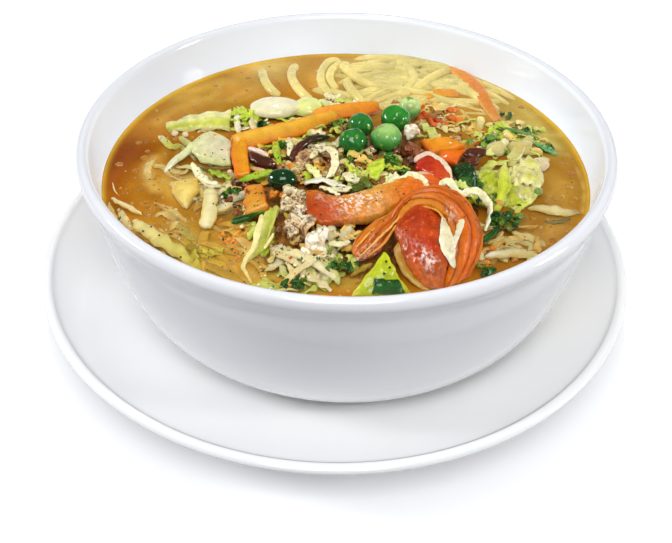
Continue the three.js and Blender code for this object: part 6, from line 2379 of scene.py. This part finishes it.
studio = {
    "floorHalf": 4.0,        # metres
    "floorTint": (0.93, 0.93, 0.94),
    "floorBounce": (0.25, 0.25, 0.27),
    # the floor's glow for the camera is weaker beside the saucer: a painted shadow round it
    "floorLift": (0.24, 0.24, 0.25),
    "liftNear": 0.45,        # share of that lift beside the saucer
    "liftFrom": 0.108,       # metres from the middle, where it starts to rise
    "liftTo": 0.21,
    "sky": (0.95, 0.975, 1.0),
    "skyStrength": 0.8,      # overhead
    "horizonStrength": 0.18,
    "mirrorShare": 0.2,      # of the sky that shiny things mirror
    "aim": (0, 0, 0.06),     # where every light points, in metres
    # direction, distance in metres, size, power, colour
    "lights": {
        "frontTop": ((0.0, -0.66, 1.0), 1.1, (0.6, 0.45), 5.2, (1, 1, 1)),
        "lamp": ((-0.06, 0.3, 1.0), 1.1, (0.06, 0.05), 0.7, (1, 1, 1)),
        "frontRight": ((0.95, -0.14, 0.34), 1.2, (0.22, 0.30), 5.4, (1.0, 0.99, 0.97)),
        "leftWindow": ((-0.85, 0.03, 0.42), 1.2, (0.30, 0.22), 5.6, (0.97, 0.98, 1.0)),
    },
}


def makeFloor():
    material, shader = newMaterial("paleFloor")
    shader.inputs["Base Color"].default_value = (*studio["floorTint"], 1)
    shader.inputs["Roughness"].default_value = 0.9
    shader.inputs["Specular IOR Level"].default_value = 0.1
    shader.inputs["Emission Strength"].default_value = 1.0
    throwBack(material, studio["floorBounce"], 1.0)
    tree = material.node_tree
    nodes = placeNodes(tree, {
        "seen": ("ShaderNodeLightPath",),
        "place": ("ShaderNodeTexCoord",),
        "apart": ("ShaderNodeVectorMath", {"operation": "LENGTH"}),
        # the glow rises away from the saucer, leaving a painted shadow round it
        "rising": ("ShaderNodeMapRange", {"interpolation_type": "SMOOTHSTEP"}, {
            "From Min": studio["liftFrom"],
            "From Max": studio["liftTo"],
            "To Min": studio["liftNear"],
        }),
        "shown": ("ShaderNodeMath", {"operation": "MULTIPLY"}),
        "lift": ("ShaderNodeMix", {"data_type": "RGBA"}, {
            mixFirst: (0, 0, 0, 1),
            mixSecond: (*studio["floorLift"], 1),
        }),
    })
    joinNodes(tree, {**nodes, "shader": shader}, [
        ("place", "Object", "apart", 0),
        ("apart", "Value", "rising", "Value"),
        ("rising", "Result", "shown", 0),
        ("seen", "Is Camera Ray", "shown", 1),
        ("shown", "Value", "lift", "Factor"),
        ("lift", mixed, "shader", "Emission Color"),
    ])
    mesh = bpy.data.meshes.new("floor")
    half = studio["floorHalf"]
    corners = [(-half, -half, 0), (half, -half, 0), (half, half, 0), (-half, half, 0)]
    mesh.from_pydata(corners, [], [(0, 1, 2, 3)])
    mesh.materials.append(material)
    floor = bpy.data.objects.new("floor", mesh)
    bpy.context.scene.collection.objects.link(floor)


def addLight(name, toward, away, size, power, colour):
    light = bpy.data.lights.new(name, "AREA")
    light.shape = "RECTANGLE"
    light.size, light.size_y = size
    light.energy = power
    light.color = colour
    holder = bpy.data.objects.new(name, light)
    bpy.context.scene.collection.objects.link(holder)
    place = Vector(toward).normalized() * away
    facing = (Vector(studio["aim"]) - place).normalized().to_track_quat("-Z", "Y").to_matrix().to_4x4()
    holder.matrix_world = Matrix.Translation(place) @ facing


def lightRoom():
    world = bpy.data.worlds.new("studio")
    bpy.context.scene.world = world
    world.use_nodes = True
    tree = world.node_tree
    sky = tree.nodes["Background"]
    sky.inputs["Color"].default_value = (*studio["sky"], 1)
    nodes = placeNodes(tree, {
        "place": ("ShaderNodeTexCoord",),
        "height": ("ShaderNodeSeparateXYZ",),
        "brighter": ("ShaderNodeMapRange", {}, {
            "To Min": studio["horizonStrength"],
            "To Max": studio["skyStrength"],
        }),
        "seen": ("ShaderNodeLightPath",),
        "faint": ("ShaderNodeMath", {"operation": "MULTIPLY"}, {1: studio["mirrorShare"]}),
        "mirrored": ("ShaderNodeMix",),
        "strength": ("ShaderNodeMix", {}, {"B": 1.0}),
    })
    joinNodes(tree, {**nodes, "sky": sky}, [
        ("place", "Generated", "height", "Vector"),
        ("height", "Z", "brighter", "Value"),
        ("brighter", "Result", "faint", 0),
        ("brighter", "Result", "mirrored", "A"),
        ("faint", "Value", "mirrored", "B"),
        ("seen", "Is Glossy Ray", "mirrored", "Factor"),
        ("mirrored", "Result", "strength", "A"),
        ("seen", "Is Camera Ray", "strength", "Factor"),
        ("strength", "Result", "sky", "Strength"),
    ])
    for name, given in studio["lights"].items():
        addLight(name, *given)
    bpy.context.scene.view_settings.view_transform = "Standard"


makeFloor()
lightRoom()
print("floor and light set")
